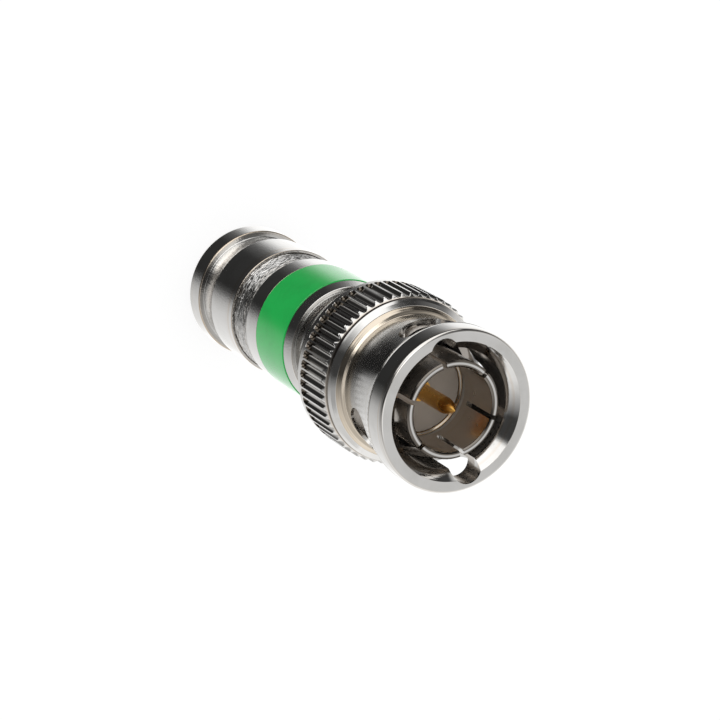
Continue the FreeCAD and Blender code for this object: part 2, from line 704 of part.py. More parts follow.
def grip_ring():
    """Plastic ring that is squeezed on to the cable jacket."""
    bottom = SLEEVE_END_WALL - GRIP_SPIGOT_LENGTH
    top = SLEEVE_END_WALL + GRIP_LENGTH
    spigot_r = GRIP_R - GRIP_SPIGOT_DROP
    seal_low = JACKET_SEAL_Z - JACKET_SEAL_SECTION_R
    seal_high = JACKET_SEAL_Z + JACKET_SEAL_SECTION_R
    return turned([
        (CABLE_INLET_R, bottom),
        (spigot_r, bottom),
        (spigot_r, SLEEVE_END_WALL),
        (GRIP_R, SLEEVE_END_WALL),
        (GRIP_R, top - GRIP_NOSE_LENGTH),
        (GRIP_R - GRIP_NOSE_DROP, top),
        (CABLE_INLET_R, top),
        (CABLE_INLET_R, seal_high),
        (SEAL_SEAT_R, seal_high),
        (SEAL_SEAT_R, seal_low),
        (CABLE_INLET_R, seal_low),
    ])


def jacket_seal():
    """Seal ring that closes on the cable jacket."""
    centre_r = SEAL_SEAT_R - JACKET_SEAL_SECTION_R
    return ring_seal(centre_r, JACKET_SEAL_SECTION_R, JACKET_SEAL_Z)


PIECES = {
    "coupling_nut": coupling_nut,
    "thrust_washer": thrust_washer,
    "wave_washers": wave_washers,
    "front_shell": front_shell,
    "outer_contact": outer_contact,
    "mating_gasket": mating_gasket,
    "front_insulator": front_insulator,
    "contact_pin": contact_pin,
    "contact_basket": contact_basket,
    "rear_insulator": rear_insulator,
    "conductor_guide": conductor_guide,
    "dielectric_stop": dielectric_stop,
    "post": post,
    "main_body": main_body,
    "colour_band": colour_band,
    "body_tail": body_tail,
    "body_seal": body_seal,
    "compression_sleeve": compression_sleeve,
    "grip_ring": grip_ring,
    "jacket_seal": jacket_seal,
}

os.makedirs("parts", exist_ok=True)
for node, build in PIECES.items():
    shape = build()
    print(node, "valid", shape.isValid(), "solids", len(shape.Solids), "mm3", round(shape.Volume, 2))
    shape.exportStep("parts/" + node + ".step")
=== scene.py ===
"""Looks of the compression-type coaxial plug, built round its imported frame.

Metres in the row frame: +Z runs from the cable end, on the floor, to the mating face.
"""

from __future__ import annotations

import logging
from dataclasses import dataclass
from enum import Enum
from typing import ClassVar

import bmesh
import bpy
import numpy as np
from mathutils import Matrix, Vector

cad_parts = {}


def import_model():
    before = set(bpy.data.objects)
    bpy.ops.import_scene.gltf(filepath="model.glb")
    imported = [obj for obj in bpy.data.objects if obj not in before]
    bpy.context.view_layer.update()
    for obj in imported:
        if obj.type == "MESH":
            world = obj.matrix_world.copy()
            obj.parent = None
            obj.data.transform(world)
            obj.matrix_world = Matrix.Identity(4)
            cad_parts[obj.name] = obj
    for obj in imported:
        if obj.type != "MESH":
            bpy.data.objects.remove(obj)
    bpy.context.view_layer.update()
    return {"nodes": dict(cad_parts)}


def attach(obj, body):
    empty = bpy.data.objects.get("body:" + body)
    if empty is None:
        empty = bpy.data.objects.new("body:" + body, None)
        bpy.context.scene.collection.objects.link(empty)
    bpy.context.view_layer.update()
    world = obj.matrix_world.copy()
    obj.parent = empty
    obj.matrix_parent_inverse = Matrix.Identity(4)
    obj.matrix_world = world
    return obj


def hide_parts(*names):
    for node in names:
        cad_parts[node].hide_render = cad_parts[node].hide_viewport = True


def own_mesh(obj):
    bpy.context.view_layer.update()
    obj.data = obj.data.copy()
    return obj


LOG = logging.getLogger("plug")
MM = 0.001
FULL_TURN = 2.0 * np.pi
FAR = 1e9
GLOSSY_BOUNCES, BOUNCES = 12, 16

# Turned outlines: points of a rounded corner, the share of a run that one rounding may take, the
# turn in radians that makes an edge, and the corner radii in millimetres that come up often.
ARC_STEPS = 6
CORNER_SHARE = 0.45
EDGE_TURN = 0.35
CRISP, FINE, EASED = 0.02, 0.03, 0.04

# Cutters: the grid of a slab, the samples of its path, the share of its reach that it keeps, and
# the steps and nose rows of a drill. Faces that meet at more than the crease angle stay sharp.
SLAB_COLUMNS, SLAB_LAYERS = 90, 9
PATH_SAMPLES = 240
SLAB_REACH = 0.9995
DRILL_STEPS, NOSE_ROWS = 64, 14
CREASE = np.radians(32.0)

Pair = tuple[float, float]
Rows = tuple[tuple[float, float, float], ...]
Colour = tuple[float, float, float, float]
Socket = bpy.types.NodeSocket


class Body(Enum):
    """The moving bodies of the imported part."""

    PLUG = "plug_body"
    SLEEVE = "sleeve"
    NUT = "nut"


class Slot(Enum):
    """The record's material slots of the new pieces, which place() is given but does not use."""

    NICKEL = "nickel"
    TURNED = "nickel_turned"
    BAND = "band_green"


class Look(Enum):
    """The finishes, by the names of their materials."""

    NICKEL = "bright_nickel"
    CONTACT = "contact_nickel"
    NUT = "nut_nickel"
    TURNED = "turned_nickel"
    GOLD = "gold_plate"
    STEEL = "spring_steel"
    BAND = "green_band"
    INSULATOR = "white_insulator"
    PLASTIC = "natural_plastic"
    RUBBER = "black_rubber"


def link_object(name: str, data: bpy.types.ID) -> bpy.types.Object:
    """A new object at the origin, in the scene.

    Args:
        name: the object's name.
        data: its mesh or camera.

    Returns:
        The object.
    """
    thing = bpy.data.objects.new(name, data)
    bpy.context.scene.collection.objects.link(thing)
    return thing


def unit(vectors: np.ndarray) -> np.ndarray:
    """Rows of an array divided by their lengths."""
    return vectors / np.maximum(np.linalg.norm(vectors, axis=1, keepdims=True), 1e-12)


@dataclass
class Outline:
    """A closed turned outline, sampled.

    Fields are the points (radius, height), the outward normals and an edge value for each point:
    1 on an outer rounding, -1 on an inner one and 0 between.
    """

    points: np.ndarray
    normals: np.ndarray
    edge: np.ndarray


def rounded_outline(corners: np.ndarray) -> Outline:
    """Rounds every corner of a closed outline by a true arc.

    At a corner the outward normal turns from that of the run before to that of the run after,
    n(t) = (sin((1 - t) f) n0 + sin(t f) n1) / sin f, where f is the angle between them. The arc is
    centre + s * radius * n(t), with s = +1 on an outer corner and -1 on an inner one.

    Args:
        corners: rows of (radius, height, corner radius), counter-clockwise.

    Returns:
        The sampled outline, six points for a rounded corner and one for a corner of no radius.
    """
    here = corners[:, :2]
    into = here - np.roll(here, 1, axis=0)
    away = np.roll(here, -1, axis=0) - here
    shorter = np.minimum(np.linalg.norm(into, axis=1), np.linalg.norm(away, axis=1))
    into, away = unit(into), unit(away)
    side = np.sign(into[:, 0] * away[:, 1] - into[:, 1] * away[:, 0])
    n0 = np.stack([into[:, 1], -into[:, 0]], axis=1)
    n1 = np.stack([away[:, 1], -away[:, 0]], axis=1)
    turn = np.arccos(np.clip((n0 * n1).sum(1), -1.0, 1.0))
    half = np.maximum(np.tan(turn / 2.0), 1e-6)
    radius = np.minimum(corners[:, 2], CORNER_SHARE * shorter / half)
    centre = here - into * (radius * half)[:, None] - (side * radius)[:, None] * n0
    t = np.linspace(0.0, 1.0, ARC_STEPS)[None, :, None]
    f = np.maximum(turn, 1e-5)[:, None, None]
    normal = (np.sin((1.0 - t) * f) * n0[:, None] + np.sin(t * f) * n1[:, None]) / np.sin(f)
    points = centre[:, None] + (side * radius)[:, None, None] * normal
    bump = np.sin(np.pi * t[..., 0]) * (side * (turn > EDGE_TURN))[:, None]
    keep = np.ones(bump.shape, bool)
    keep[corners[:, 2] == 0.0, 1:] = False
    return Outline(points[keep], unit(normal[keep]), bump[keep])


def turned_mesh(outline: Outline, relief: np.ndarray) -> tuple[np.ndarray, ...]:
    """Carries an outline round Z and lowers its surface by a relief.

    Position is ((r - d) cos a, (r - d) sin a, z) for a point (r, z) of the outline, an angle a and
    the depth d of the relief there. The normal is the outline's own plus the slopes of d along the
    height and round the turn.

    Args:
        outline: the closed outline in metres.
        relief: depth in metres, one row for each point of the outline and one column for each
            angle.

    Returns:
        Vertices, vertex normals and quads.
    """
    rows, steps = relief.shape
    angle = np.arange(steps) * FULL_TURN / steps
    radius = outline.points[:, :1] - relief
    height = np.repeat(outline.points[:, 1:], steps, axis=1)
    verts = np.stack([radius * np.cos(angle), radius * np.sin(angle), height], axis=-1)
    rise = np.roll(height, -1, axis=0) - np.roll(height, 1, axis=0)
    along = np.roll(relief, -1, axis=0) - np.roll(relief, 1, axis=0)
    slope = np.where(np.abs(rise) > 1e-7, along / np.where(np.abs(rise) > 1e-7, rise, 1.0), 0.0)
    arc = 2.0 * np.maximum(radius, 1e-6) * FULL_TURN / steps
    round_slope = (np.roll(relief, -1, axis=1) - np.roll(relief, 1, axis=1)) / arc
    out = np.repeat(outline.normals[:, :1], steps, axis=1)
    up = outline.normals[:, 1:] + slope * np.abs(out)
    across = round_slope * np.abs(out)
    norms = np.stack([
        out * np.cos(angle) - across * np.sin(angle),
        out * np.sin(angle) + across * np.cos(angle),
        up,
    ], axis=-1).reshape(-1, 3)
    i, j = np.meshgrid(np.arange(rows), np.arange(steps), indexing="ij")
    after, on = (i + 1) % rows, (j + 1) % steps
    low, high = i * steps, after * steps
    quads = np.stack([low + j, low + on, high + on, high + j], axis=-1)
    return verts.reshape(-1, 3), unit(norms), quads.reshape(-1, 4)


def turned_piece(
    name: str, outline: Outline, relief: np.ndarray, own_normals: bool = True,
) -> bpy.types.Object:
    """A ring-shaped turned piece at the origin, with its place in its mesh.

    Args:
        name: name of the piece.
        outline: the closed outline in metres.
        relief: depth in millimetres for each point of the outline and each step round the turn.
        own_normals: whether the outline's own normals are kept in the mesh.

    Returns:
        The linked object, smooth-shaded, with an edge attribute.
    """
    verts, norms, quads = turned_mesh(outline, relief * MM)
    mesh = bpy.data.meshes.new(name)
    mesh.from_pydata(verts.tolist(), [], quads.tolist())
    mesh.polygons.foreach_set("use_smooth", np.ones(len(quads), bool))
    if own_normals:
        mesh.normals_split_custom_set_from_vertices(norms.tolist())
    mark = mesh.attributes.new("edge", "FLOAT", "POINT")
    mark.data.foreach_set("value", np.repeat(outline.edge, relief.shape[1]).astype(np.float32))
    mesh.update()
    return link_object(name, mesh)


def straight_run(radius: float, low: float, high: float, pitch: float) -> list:
    """Corners along a plain cylinder, close enough to carry a relief.

    Args:
        radius: radius of the cylinder in millimetres.
        low: height of the first corner.
        high: height of the last one.
        pitch: distance between two of them.

    Returns:
        Rows of (radius, height, corner radius).
    """
    count = max(2, int(round((high - low) / pitch)) + 1)
    return [(radius, height, 0.0) for height in np.linspace(low, high, count)]


def speckle(rows: int, steps: int, along: int, around: int, seed: int) -> np.ndarray:
    """Random heights between 0 and 1 that close round the turn.

    White noise is averaged with its neighbours, h' = (h(-1) + 2 h + h(+1)) / 4, a few times in
    each direction, and stretched back to the range 0 to 1.

    Args:
        rows: points along the outline.
        steps: positions round the turn.
        along: how often the noise is averaged along the outline.
        around: how often it is averaged round the turn.
        seed: seed of the draw.

    Returns:
        Array of shape (rows, steps).
    """
    noise = np.random.default_rng(seed).random((rows, steps))
    for _ in range(along):
        noise = (np.roll(noise, 1, axis=0) + 2.0 * noise + np.roll(noise, -1, axis=0)) / 4.0
    for _ in range(around):
        noise = (np.roll(noise, 1, axis=1) + 2.0 * noise + np.roll(noise, -1, axis=1)) / 4.0
    low, high = np.quantile(noise, (0.02, 0.98))
    return np.clip((noise - low) / (high - low), 0.0, 1.0)


def grid_faces(rows: int, columns: int, start: int = 0) -> np.ndarray:
    """Quads of an open grid of vertices.

    Args:
        rows: vertices along the first direction.
        columns: vertices along the second, which runs fastest.
        start: index of the first vertex.

    Returns:
        Array of quads.
    """
    i, j = np.meshgrid(np.arange(rows - 1), np.arange(columns - 1), indexing="ij")
    corner = start + i * columns + j
    quads = np.stack([corner, corner + columns, corner + columns + 1, corner + 1], axis=-1)
    return quads.reshape(-1, 4)


def cutter_mesh(name: str, verts: np.ndarray, quads: np.ndarray) -> bpy.types.Object:
    """A closed cutter with outward faces.

    Args:
        name: name of the cutter.
        verts: vertices in metres.
        quads: quads, in any direction.

    Returns:
        The object.
    """
    mesh = bpy.data.meshes.new(name)
    mesh.from_pydata(verts.tolist(), [], quads.tolist())
    work = bmesh.new()
    work.from_mesh(mesh)
    bmesh.ops.remove_doubles(work, verts=work.verts, dist=1e-7)
    bmesh.ops.recalc_face_normals(work, faces=work.faces)
    work.to_mesh(mesh)
    work.free()
    return link_object(name, mesh)


def polar_slab(
    name: str, path: list, disc: float, wall: float, radii: tuple, ceiling: float, turn: float,
) -> bpy.types.Object:
    """Closed slab round Z over the region that a disc covers as it follows a path on a wall.

    With arc length u = r a at the wall's radius, the region goes from min(z_p - h) to max(z_p + h)
    over the path's points p, where h = sqrt(disc^2 - (u - u_p)^2), and ends at the ceiling.

    Args:
        name: name of the cutter.
        path: points (degrees from the entry, height in millimetres).
        disc: radius of the disc in millimetres.
        wall: radius in millimetres at which the disc is round.
        radii: inner and outer radius of the slab in millimetres.
        ceiling: greatest height in millimetres.
        turn: azimuth of the entry in degrees.

    Returns:
        The cutter.
    """
    knots = np.array(path, float)
    t = np.linspace(0.0, len(knots) - 1.0, PATH_SAMPLES)
    along = wall * np.radians(np.interp(t, np.arange(len(knots)), knots[:, 0]))
    level = np.interp(t, np.arange(len(knots)), knots[:, 1])
    middle, reach = (along.max() + along.min()) / 2.0, (along.max() - along.min()) / 2.0 + disc
    u = middle - reach * SLAB_REACH * np.cos(np.linspace(0.0, np.pi, SLAB_COLUMNS))
    inside = disc**2 - (u[:, None] - along[None, :]) ** 2
    half = np.sqrt(np.maximum(inside, 0.0))
    upper = np.minimum(np.where(inside > 0.0, level[None, :] + half, -FAR).max(1), ceiling)
    lower = np.where(inside > 0.0, level[None, :] - half, FAR).min(1)
    share = np.linspace(0.0, 1.0, SLAB_LAYERS)
    height = (lower[:, None] + (upper - lower)[:, None] * share[None, :]) * MM
    angle = np.radians(turn) + np.repeat((u / wall)[:, None], SLAB_LAYERS, axis=1)
    verts = np.concatenate([
        np.stack([r * MM * np.cos(angle), r * MM * np.sin(angle), height], axis=-1).reshape(-1, 3)
        for r in radii
    ])
    count = SLAB_COLUMNS * SLAB_LAYERS
    inner = np.arange(count).reshape(SLAB_COLUMNS, SLAB_LAYERS)
    faces = [grid_faces(SLAB_COLUMNS, SLAB_LAYERS), grid_faces(SLAB_COLUMNS, SLAB_LAYERS, count)]
    for rim in (inner[:, 0], inner[:, -1], inner[0], inner[-1]):
        faces.append(np.stack([rim[:-1], rim[1:], rim[1:] + count, rim[:-1] + count], axis=-1))
    return cutter_mesh(name, verts, np.concatenate(faces))


def round_nosed_drill(
    name: str, radius: float, axis_radius: float, low: float, high: float, turn: float,
) -> bpy.types.Object:
    """Closed cutter along Z whose lower end is half a ball.

    Rows are (radius cos e, low + radius sin e) for e from -90 to 0 degrees, then the cylinder.

    Args:
        name: name of the cutter.
        radius: its radius in millimetres.
        axis_radius: distance of its axis from Z.
        low: height of the ball's centre.
        high: height of the flat end.
        turn: azimuth of the axis in degrees.

    Returns:
        The cutter.
    """
    rise = np.linspace(-np.pi / 2.0, 0.0, NOSE_ROWS)
    row_radius = np.append(radius * np.cos(rise), [radius, 0.0])
    row_height = np.append(low + radius * np.sin(rise), [high, high])
    angle = np.linspace(0.0, FULL_TURN, DRILL_STEPS + 1)
    x = axis_radius * np.cos(np.radians(turn)) + row_radius[:, None] * np.cos(angle)
    y = axis_radius * np.sin(np.radians(turn)) + row_radius[:, None] * np.sin(angle)
    z = np.repeat(row_height[:, None], DRILL_STEPS + 1, axis=1)
    verts = np.stack([x, y, z], axis=-1).reshape(-1, 3) * MM
    return cutter_mesh(name, verts, grid_faces(len(row_radius), DRILL_STEPS + 1))


def cut_away(piece: bpy.types.Object, cutters: list) -> None:
    """Takes the cutters out of a piece, for good, and keeps only its real creases sharp.

    Args:
        piece: the closed piece.
        cutters: closed solids, deleted afterwards.
    """
    for cutter in cutters:
        step = piece.modifiers.new(cutter.name, "BOOLEAN")
        step.operation, step.solver, step.object = "DIFFERENCE", "MANIFOLD", cutter
    bpy.context.view_layer.update()
    shape = piece.evaluated_get(bpy.context.evaluated_depsgraph_get())
    mesh = bpy.data.meshes.new_from_object(shape)
    piece.modifiers.clear()
    piece.data = mesh
    for cutter in cutters:
        bpy.data.objects.remove(cutter)
    mesh.polygons.foreach_set("use_smooth", np.ones(len(mesh.polygons), bool))
    mesh.set_sharp_from_angle(angle=CREASE)


class Bench:
    """Short hand for placing and wiring shader nodes in one tree."""

    def __init__(self, tree: bpy.types.NodeTree) -> None:
        """Keeps the tree that is wired."""
        self.tree = tree

    @classmethod
    def cleared(cls, owner: bpy.types.ID) -> Bench:
        """A bench on the emptied tree of a material or a world.

        Args:
            owner: the material or world.

        Returns:
            The bench.
        """
        owner.use_nodes = True
        owner.node_tree.nodes.clear()
        return cls(owner.node_tree)

    def add(self, kind: str, **values: object) -> bpy.types.Node:
        """One node with its settings.

        Args:
            kind: the node's type.
            **values: attributes of the node.

        Returns:
            The new node.
        """
        node = self.tree.nodes.new(kind)
        for key, value in values.items():
            setattr(node, key, value)
        return node

    def feed(self, target: Socket, value: object) -> None:
        """Links a socket to another, or gives it a plain value.

        Args:
            target: the input.
            value: socket, number or colour.
        """
        if isinstance(value, Socket):
            self.tree.links.new(value, target)
        else:
            target.default_value = value

    def math(
        self, operation: str, first: object, second: object = 0.0, clamp: bool = False,
    ) -> Socket:
        """A Math node's result.

        Args:
            operation: the node's operation.
            first: socket or number.
            second: socket or number.
            clamp: whether the result is kept between 0 and 1.

        Returns:
            The output socket.
        """
        node = self.add("ShaderNodeMath", operation=operation, use_clamp=clamp)
        self.feed(node.inputs[0], first)
        self.feed(node.inputs[1], second)
        return node.outputs[0]

    def plus(self, first: object, second: object) -> Socket:
        """The sum of two sockets or numbers."""
        return self.math("ADD", first, second)

    def minus(self, first: object, second: object) -> Socket:
        """The first socket or number less the second."""
        return self.math("SUBTRACT", first, second)

    def times(self, first: object, second: object) -> Socket:
        """The product of two sockets or numbers."""
        return self.math("MULTIPLY", first, second)

    def span(
        self, value: object, low: float, high: float, to_low: float = 0.0, to_high: float = 1.0,
    ) -> Socket:
        """A value carried with eased ends from one range to another.

        Args:
            value: socket to read.
            low: start of the range read.
            high: end of the range read.
            to_low: result at the start.
            to_high: result at the end.

        Returns:
            The output socket.
        """
        node = self.add("ShaderNodeMapRange", interpolation_type="SMOOTHSTEP")
        self.feed(node.inputs["Value"], value)
        ends = {"From Min": low, "From Max": high, "To Min": to_low, "To Max": to_high}
        for name, number in ends.items():
            node.inputs[name].default_value = number
        return node.outputs["Result"]

    def mix(self, factor: object, first: object, second: object) -> Socket:
        """A colour between two colours.

        Args:
            factor: socket or number, 0 for the first colour.
            first: socket or colour.
            second: socket or colour.

        Returns:
            The output socket.
        """
        node = self.add("ShaderNodeMix", data_type="RGBA")
        for index, value in ((0, factor), (6, first), (7, second)):
            self.feed(node.inputs[index], value)
        return node.outputs[2]

    def noise(
        self, vector: object, scale: object, detail: float = 2.0, distortion: float = 0.0,
    ) -> Socket:
        """A noise value between 0 and 1 over a vector.

        Args:
            vector: socket that the noise is read at.
            scale: socket or number.
            detail: octaves.
            distortion: how far the noise bends itself.

        Returns:
            The value's socket.
        """
        node = self.add("ShaderNodeTexNoise", noise_dimensions="3D")
        self.feed(node.inputs["Vector"], vector)
        self.feed(node.inputs["Scale"], scale)
        node.inputs["Detail"].default_value = detail
        node.inputs["Distortion"].default_value = distortion
        return node.outputs["Fac"]

    def object_place(self) -> Socket:
        """Object coordinates."""
        return self.add("ShaderNodeTexCoord").outputs["Object"]

    def split(self, vector: Socket) -> bpy.types.bpy_prop_collection:
        """The three parts of a vector.

        Args:
            vector: socket to read.

        Returns:
            The output sockets.
        """
        apart = self.add("ShaderNodeSeparateXYZ")
        self.feed(apart.inputs[0], vector)
        return apart.outputs

    def radius_and_height(self, place: Socket) -> tuple:
        """Distance from Z and height of a place: r = sqrt(x^2 + y^2) and z."""
        x, y, z = self.split(place)
        return self.math("SQRT", self.plus(self.times(x, x), self.times(y, y))), z


class Effects:
    """Shader groups that several finishes share. Each is built once.

    Sizes of noise are per metre. Broad lines and specks are multiples of the fine ones' number.
    """

    SWAY_SIZE = 220.0
    BROAD_LINES = 0.13
    BROAD_WEIGHT = 0.7
    SPECK_SIZE = 0.45
    DEEP_ENDS, SPECK_ENDS = (0.60, 0.74), (0.66, 0.78)
    HAZE_ENDS, HAIR_ENDS = (0.35, 0.72), (0.68, 0.76)
    HAIR_TURN = (0.7, 0.5, 0.3)
    HAIR_STRETCH = (1.0, 0.07, 0.6)

    def __init__(self) -> None:
        """Builds the groups."""
        self.turn_lines = self._turn_lines()
        self.handling = self._handling()
        self.grain = self._grain()
        self.zone = self._zone()

    @staticmethod
    def _group(name: str, inputs: dict[str, float], outputs: tuple[str, ...]) -> tuple:
        """An empty group with named number sockets.

        Args:
            name: the group's name.
            inputs: inputs and their defaults.
            outputs: names of the outputs.

        Returns:
            The tree, a bench on it, its input sockets and its output node's sockets.
        """
        tree = bpy.data.node_groups.new(name, "ShaderNodeTree")
        for label, value in inputs.items():
            pin = tree.interface.new_socket(label, in_out="INPUT", socket_type="NodeSocketFloat")
            pin.default_value = value
        for label in outputs:
            tree.interface.new_socket(label, in_out="OUTPUT", socket_type="NodeSocketFloat")
        bench = Bench(tree)
        pins = bench.add("NodeGroupInput").outputs
        return tree, bench, pins, bench.add("NodeGroupOutput").inputs

    def _turn_lines(self) -> bpy.types.NodeTree:
        """Lines that a cutting tool leaves: noise over (distance from the axis, height) alone.

        Returns:
            Group with the lines' height and a mask of single deeper lines.
        """
        inputs = {"Lines per m": 9000.0, "Waver": 0.00002}
        tree, bench, pins, out = self._group("turn_lines", inputs, ("Height", "Deep"))
        place = bench.object_place()
        radius, height = bench.radius_and_height(place)
        sway = bench.times(bench.noise(place, self.SWAY_SIZE, 1.0), pins["Waver"])
        line = bench.add("ShaderNodeCombineXYZ")
        bench.feed(line.inputs[0], radius)
        bench.feed(line.inputs[1], bench.plus(height, sway))
        fine = bench.noise(line.outputs[0], pins["Lines per m"], 2.0)
        wide = bench.times(pins["Lines per m"], self.BROAD_LINES)
        broad = bench.noise(line.outputs[0], wide, 1.0)
        bench.feed(out["Height"], bench.plus(fine, bench.times(broad, self.BROAD_WEIGHT)))
        bench.feed(out["Deep"], bench.span(broad, *self.DEEP_ENDS))
        return tree

    def _handling(self) -> bpy.types.NodeTree:
        """Finger haze and short hair scratches, from stretched and bent noise.

        Returns:
            Group with the haze and the scratches, both between 0 and 1.
        """
        inputs = {"Haze size": 420.0, "Scratch size": 2600.0}
        tree, bench, pins, out = self._group("handling", inputs, ("Haze", "Scratch"))
        place = bench.object_place()
        haze = bench.noise(place, pins["Haze size"], 4.0, 0.6)
        bent = bench.add("ShaderNodeMapping")
        bench.feed(bent.inputs["Vector"], place)
        bent.inputs["Rotation"].default_value = self.HAIR_TURN
        bent.inputs["Scale"].default_value = self.HAIR_STRETCH
        hair = bench.noise(bent.outputs[0], pins["Scratch size"], 3.0, 0.4)
        bench.feed(out["Haze"], bench.span(haze, *self.HAZE_ENDS))
        bench.feed(out["Scratch"], bench.span(hair, *self.HAIR_ENDS))
        return tree

    def _grain(self) -> bpy.types.NodeTree:
        """Fine pits and specks of a plated, moulded or blasted surface.

        Returns:
            Group with the grain's height and a mask of single specks.
        """
        inputs = {"Grains per m": 9000.0}
        tree, bench, pins, out = self._group("grain", inputs, ("Height", "Specks"))
        place = bench.object_place()
        fine = bench.noise(place, pins["Grains per m"], 3.0)
        speck = bench.noise(place, bench.times(pins["Grains per m"], self.SPECK_SIZE), 1.0)
        bench.feed(out["Height"], fine)
        bench.feed(out["Specks"], bench.span(speck, *self.SPECK_ENDS))
        return tree

    def _zone(self) -> bpy.types.NodeTree:
        """A ring-shaped zone round Z: soft mask between two heights and two radii, in metres.

        Each side is (place - edge) / soft, kept between 0 and 1, and the mask is their product.

        Returns:
            Group with the mask between 0 and 1.
        """
        inputs = {"Low": 0.0, "High": 1.0, "Inner": 0.0, "Outer": 1.0, "Soft": 0.00004}
        tree, bench, pins, out = self._group("zone", inputs, ("Mask",))
        radius, height = bench.radius_and_height(bench.object_place())
        mask = 1.0
        for first, second in (
            (height, pins["Low"]), (pins["High"], height),
            (radius, pins["Inner"]), (pins["Outer"], radius),
        ):
            side = bench.math("DIVIDE", bench.minus(first, second), pins["Soft"], clamp=True)
            mask = bench.times(mask, side)
        bench.feed(out["Mask"], mask)
        return tree


class Finish:
    """Steps that every finish takes: an empty material, its groups and its bump."""

    @staticmethod
    def blank(name: str) -> tuple[bpy.types.Material, Bench, bpy.types.Node]:
        """A material that holds one Principled shader.

        Args:
            name: the material's name.

        Returns:
            The material, a bench on its tree and the shader node.
        """
        material = bpy.data.materials.new(name)
        bench = Bench.cleared(material)
        shader = bench.add("ShaderNodeBsdfPrincipled")
        out = bench.add("ShaderNodeOutputMaterial")
        bench.feed(out.inputs["Surface"], shader.outputs["BSDF"])
        return material, bench, shader

    @staticmethod
    def use(bench: Bench, tree: bpy.types.NodeTree, **values: float) -> bpy.types.NodeOutputs:
        """A group placed in a material with its own values.

        Args:
            bench: bench on the material's tree.
            tree: the group.
            **values: inputs by name, with underscores for spaces.

        Returns:
            The group node's outputs.
        """
        node = bench.add("ShaderNodeGroup", node_tree=tree)
        for label, value in values.items():
            node.inputs[label.replace("_", " ")].default_value = value
        return node.outputs

    @staticmethod
    def wire(
        bench: Bench, shader: bpy.types.Node,
        tone: Socket, rough: Socket, height: Socket, depth: float,
    ) -> None:
        """Feeds the shader its colour, its roughness and a bump.

        Args:
            bench: bench on the material's tree.
            shader: the Principled shader.
            tone: socket with the colour.
            rough: socket with the roughness.
            height: socket with the height between 0 and 1.
            depth: what a height of 1 stands for, in metres.
        """
        bench.feed(shader.inputs["Base Color"], tone)
        bench.feed(shader.inputs["Roughness"], rough)
        bump = bench.add("ShaderNodeBump")
        bump.inputs["Strength"].default_value = 1.0
        bump.inputs["Distance"].default_value = depth
        bench.feed(bump.inputs["Height"], height)
        bench.feed(shader.inputs["Normal"], bump.outputs["Normal"])


@dataclass(frozen=True)
class Zone:
    """A ring-shaped part of a piece whose finish differs; in most zones the tint is painted shade.
    Sizes in millimetres.
    """

    low: float
    high: float
    inner: float
    outer: float
    tint: Colour
    share: float
    groove_depth: float = 0.0
    grooves_per_m: float = 9000.0
    soft: float = 0.04
    roughness: float = 0.0
    film: float = 0.0


BRIGHT, DULL, RUBBED = (0.66, 0.65, 0.635, 1.0), (0.60, 0.59, 0.57, 1.0), (0.54, 0.41, 0.27, 1.0)
# Dark brown of painted shade: dark rims on the contact's end face, over the valleys' rounded ends
# and on the ring's land.
PAINTED_SHADE = (0.10, 0.08, 0.06, 1.0)


@dataclass(frozen=True)
class PlatedMetal:
    """Plated metal with tool lines, a pebbled skin, haze, scratches and rubbed edges, in metres."""

    roughness: float
    haze_roughness: float
    lines_per_m: float = 9000.0
    line_depth: float = 0.0000012
    bright: Colour = BRIGHT
    dull: Colour = DULL
    rubbed: Colour = RUBBED
    grains_per_m: float = 6500.0
    skin_depth: float = 0.0000022
    scratch_depth: float = 0.0000015
    scratch_roughness: float = 0.12
    line_share: float = 0.35
    edge_ends: Pair = (0.1, 0.9)
    edge_share: float = 0.6
    zones: tuple[Zone, ...] = ()

    def build(self, name: str, effects: Effects) -> bpy.types.Material:
        """Wires the material.

        Args:
            name: the material's name.
            effects: the shared groups.

        Returns:
            The material.
        """
        material, bench, shader = Finish.blank(name)
        shader.inputs["Metallic"].default_value = 1.0
        lines = Finish.use(bench, effects.turn_lines, Lines_per_m=self.lines_per_m)
        marks = Finish.use(bench, effects.handling)
        skin = Finish.use(bench, effects.grain, Grains_per_m=self.grains_per_m)
        edge = bench.add("ShaderNodeAttribute", attribute_name="edge").outputs["Fac"]
        tone = bench.mix(marks["Haze"], self.bright, self.dull)
        tone = bench.mix(bench.times(lines["Deep"], self.line_share), tone, self.rubbed)
        tone = bench.mix(bench.span(edge, *self.edge_ends, 0.0, self.edge_share), tone, self.rubbed)
        rough = bench.span(marks["Haze"], 0.0, 1.0, self.roughness, self.haze_roughness)
        rough = bench.plus(rough, bench.times(marks["Scratch"], self.scratch_roughness))
        scratch = bench.times(marks["Scratch"], self.scratch_depth / self.line_depth)
        pebbles = bench.times(skin["Height"], self.skin_depth / self.line_depth)
        height = bench.plus(bench.minus(lines["Height"], scratch), pebbles)
        metal = 1.0
        for zone in self.zones:
            mask = Finish.use(
                bench, effects.zone, Low=zone.low * MM, High=zone.high * MM,
                Inner=zone.inner * MM, Outer=zone.outer * MM, Soft=zone.soft * MM,
            )["Mask"]
            # The zone's tint; in most zones it is painted shade.
            tone = bench.mix(bench.times(mask, zone.share), tone, zone.tint)
            rough = bench.plus(rough, bench.times(mask, zone.roughness))
            if zone.film:
                metal = bench.minus(metal, bench.times(mask, zone.film))
                bench.feed(shader.inputs["Metallic"], metal)
            if zone.groove_depth:
                cuts = Finish.use(bench, effects.turn_lines, Lines_per_m=zone.grooves_per_m)
                depth = zone.groove_depth * MM / self.line_depth
                cut = bench.times(bench.times(cuts["Height"], mask), depth)
                height = bench.plus(height, cut)
        Finish.wire(bench, shader, tone, rough, height, self.line_depth)
        return material


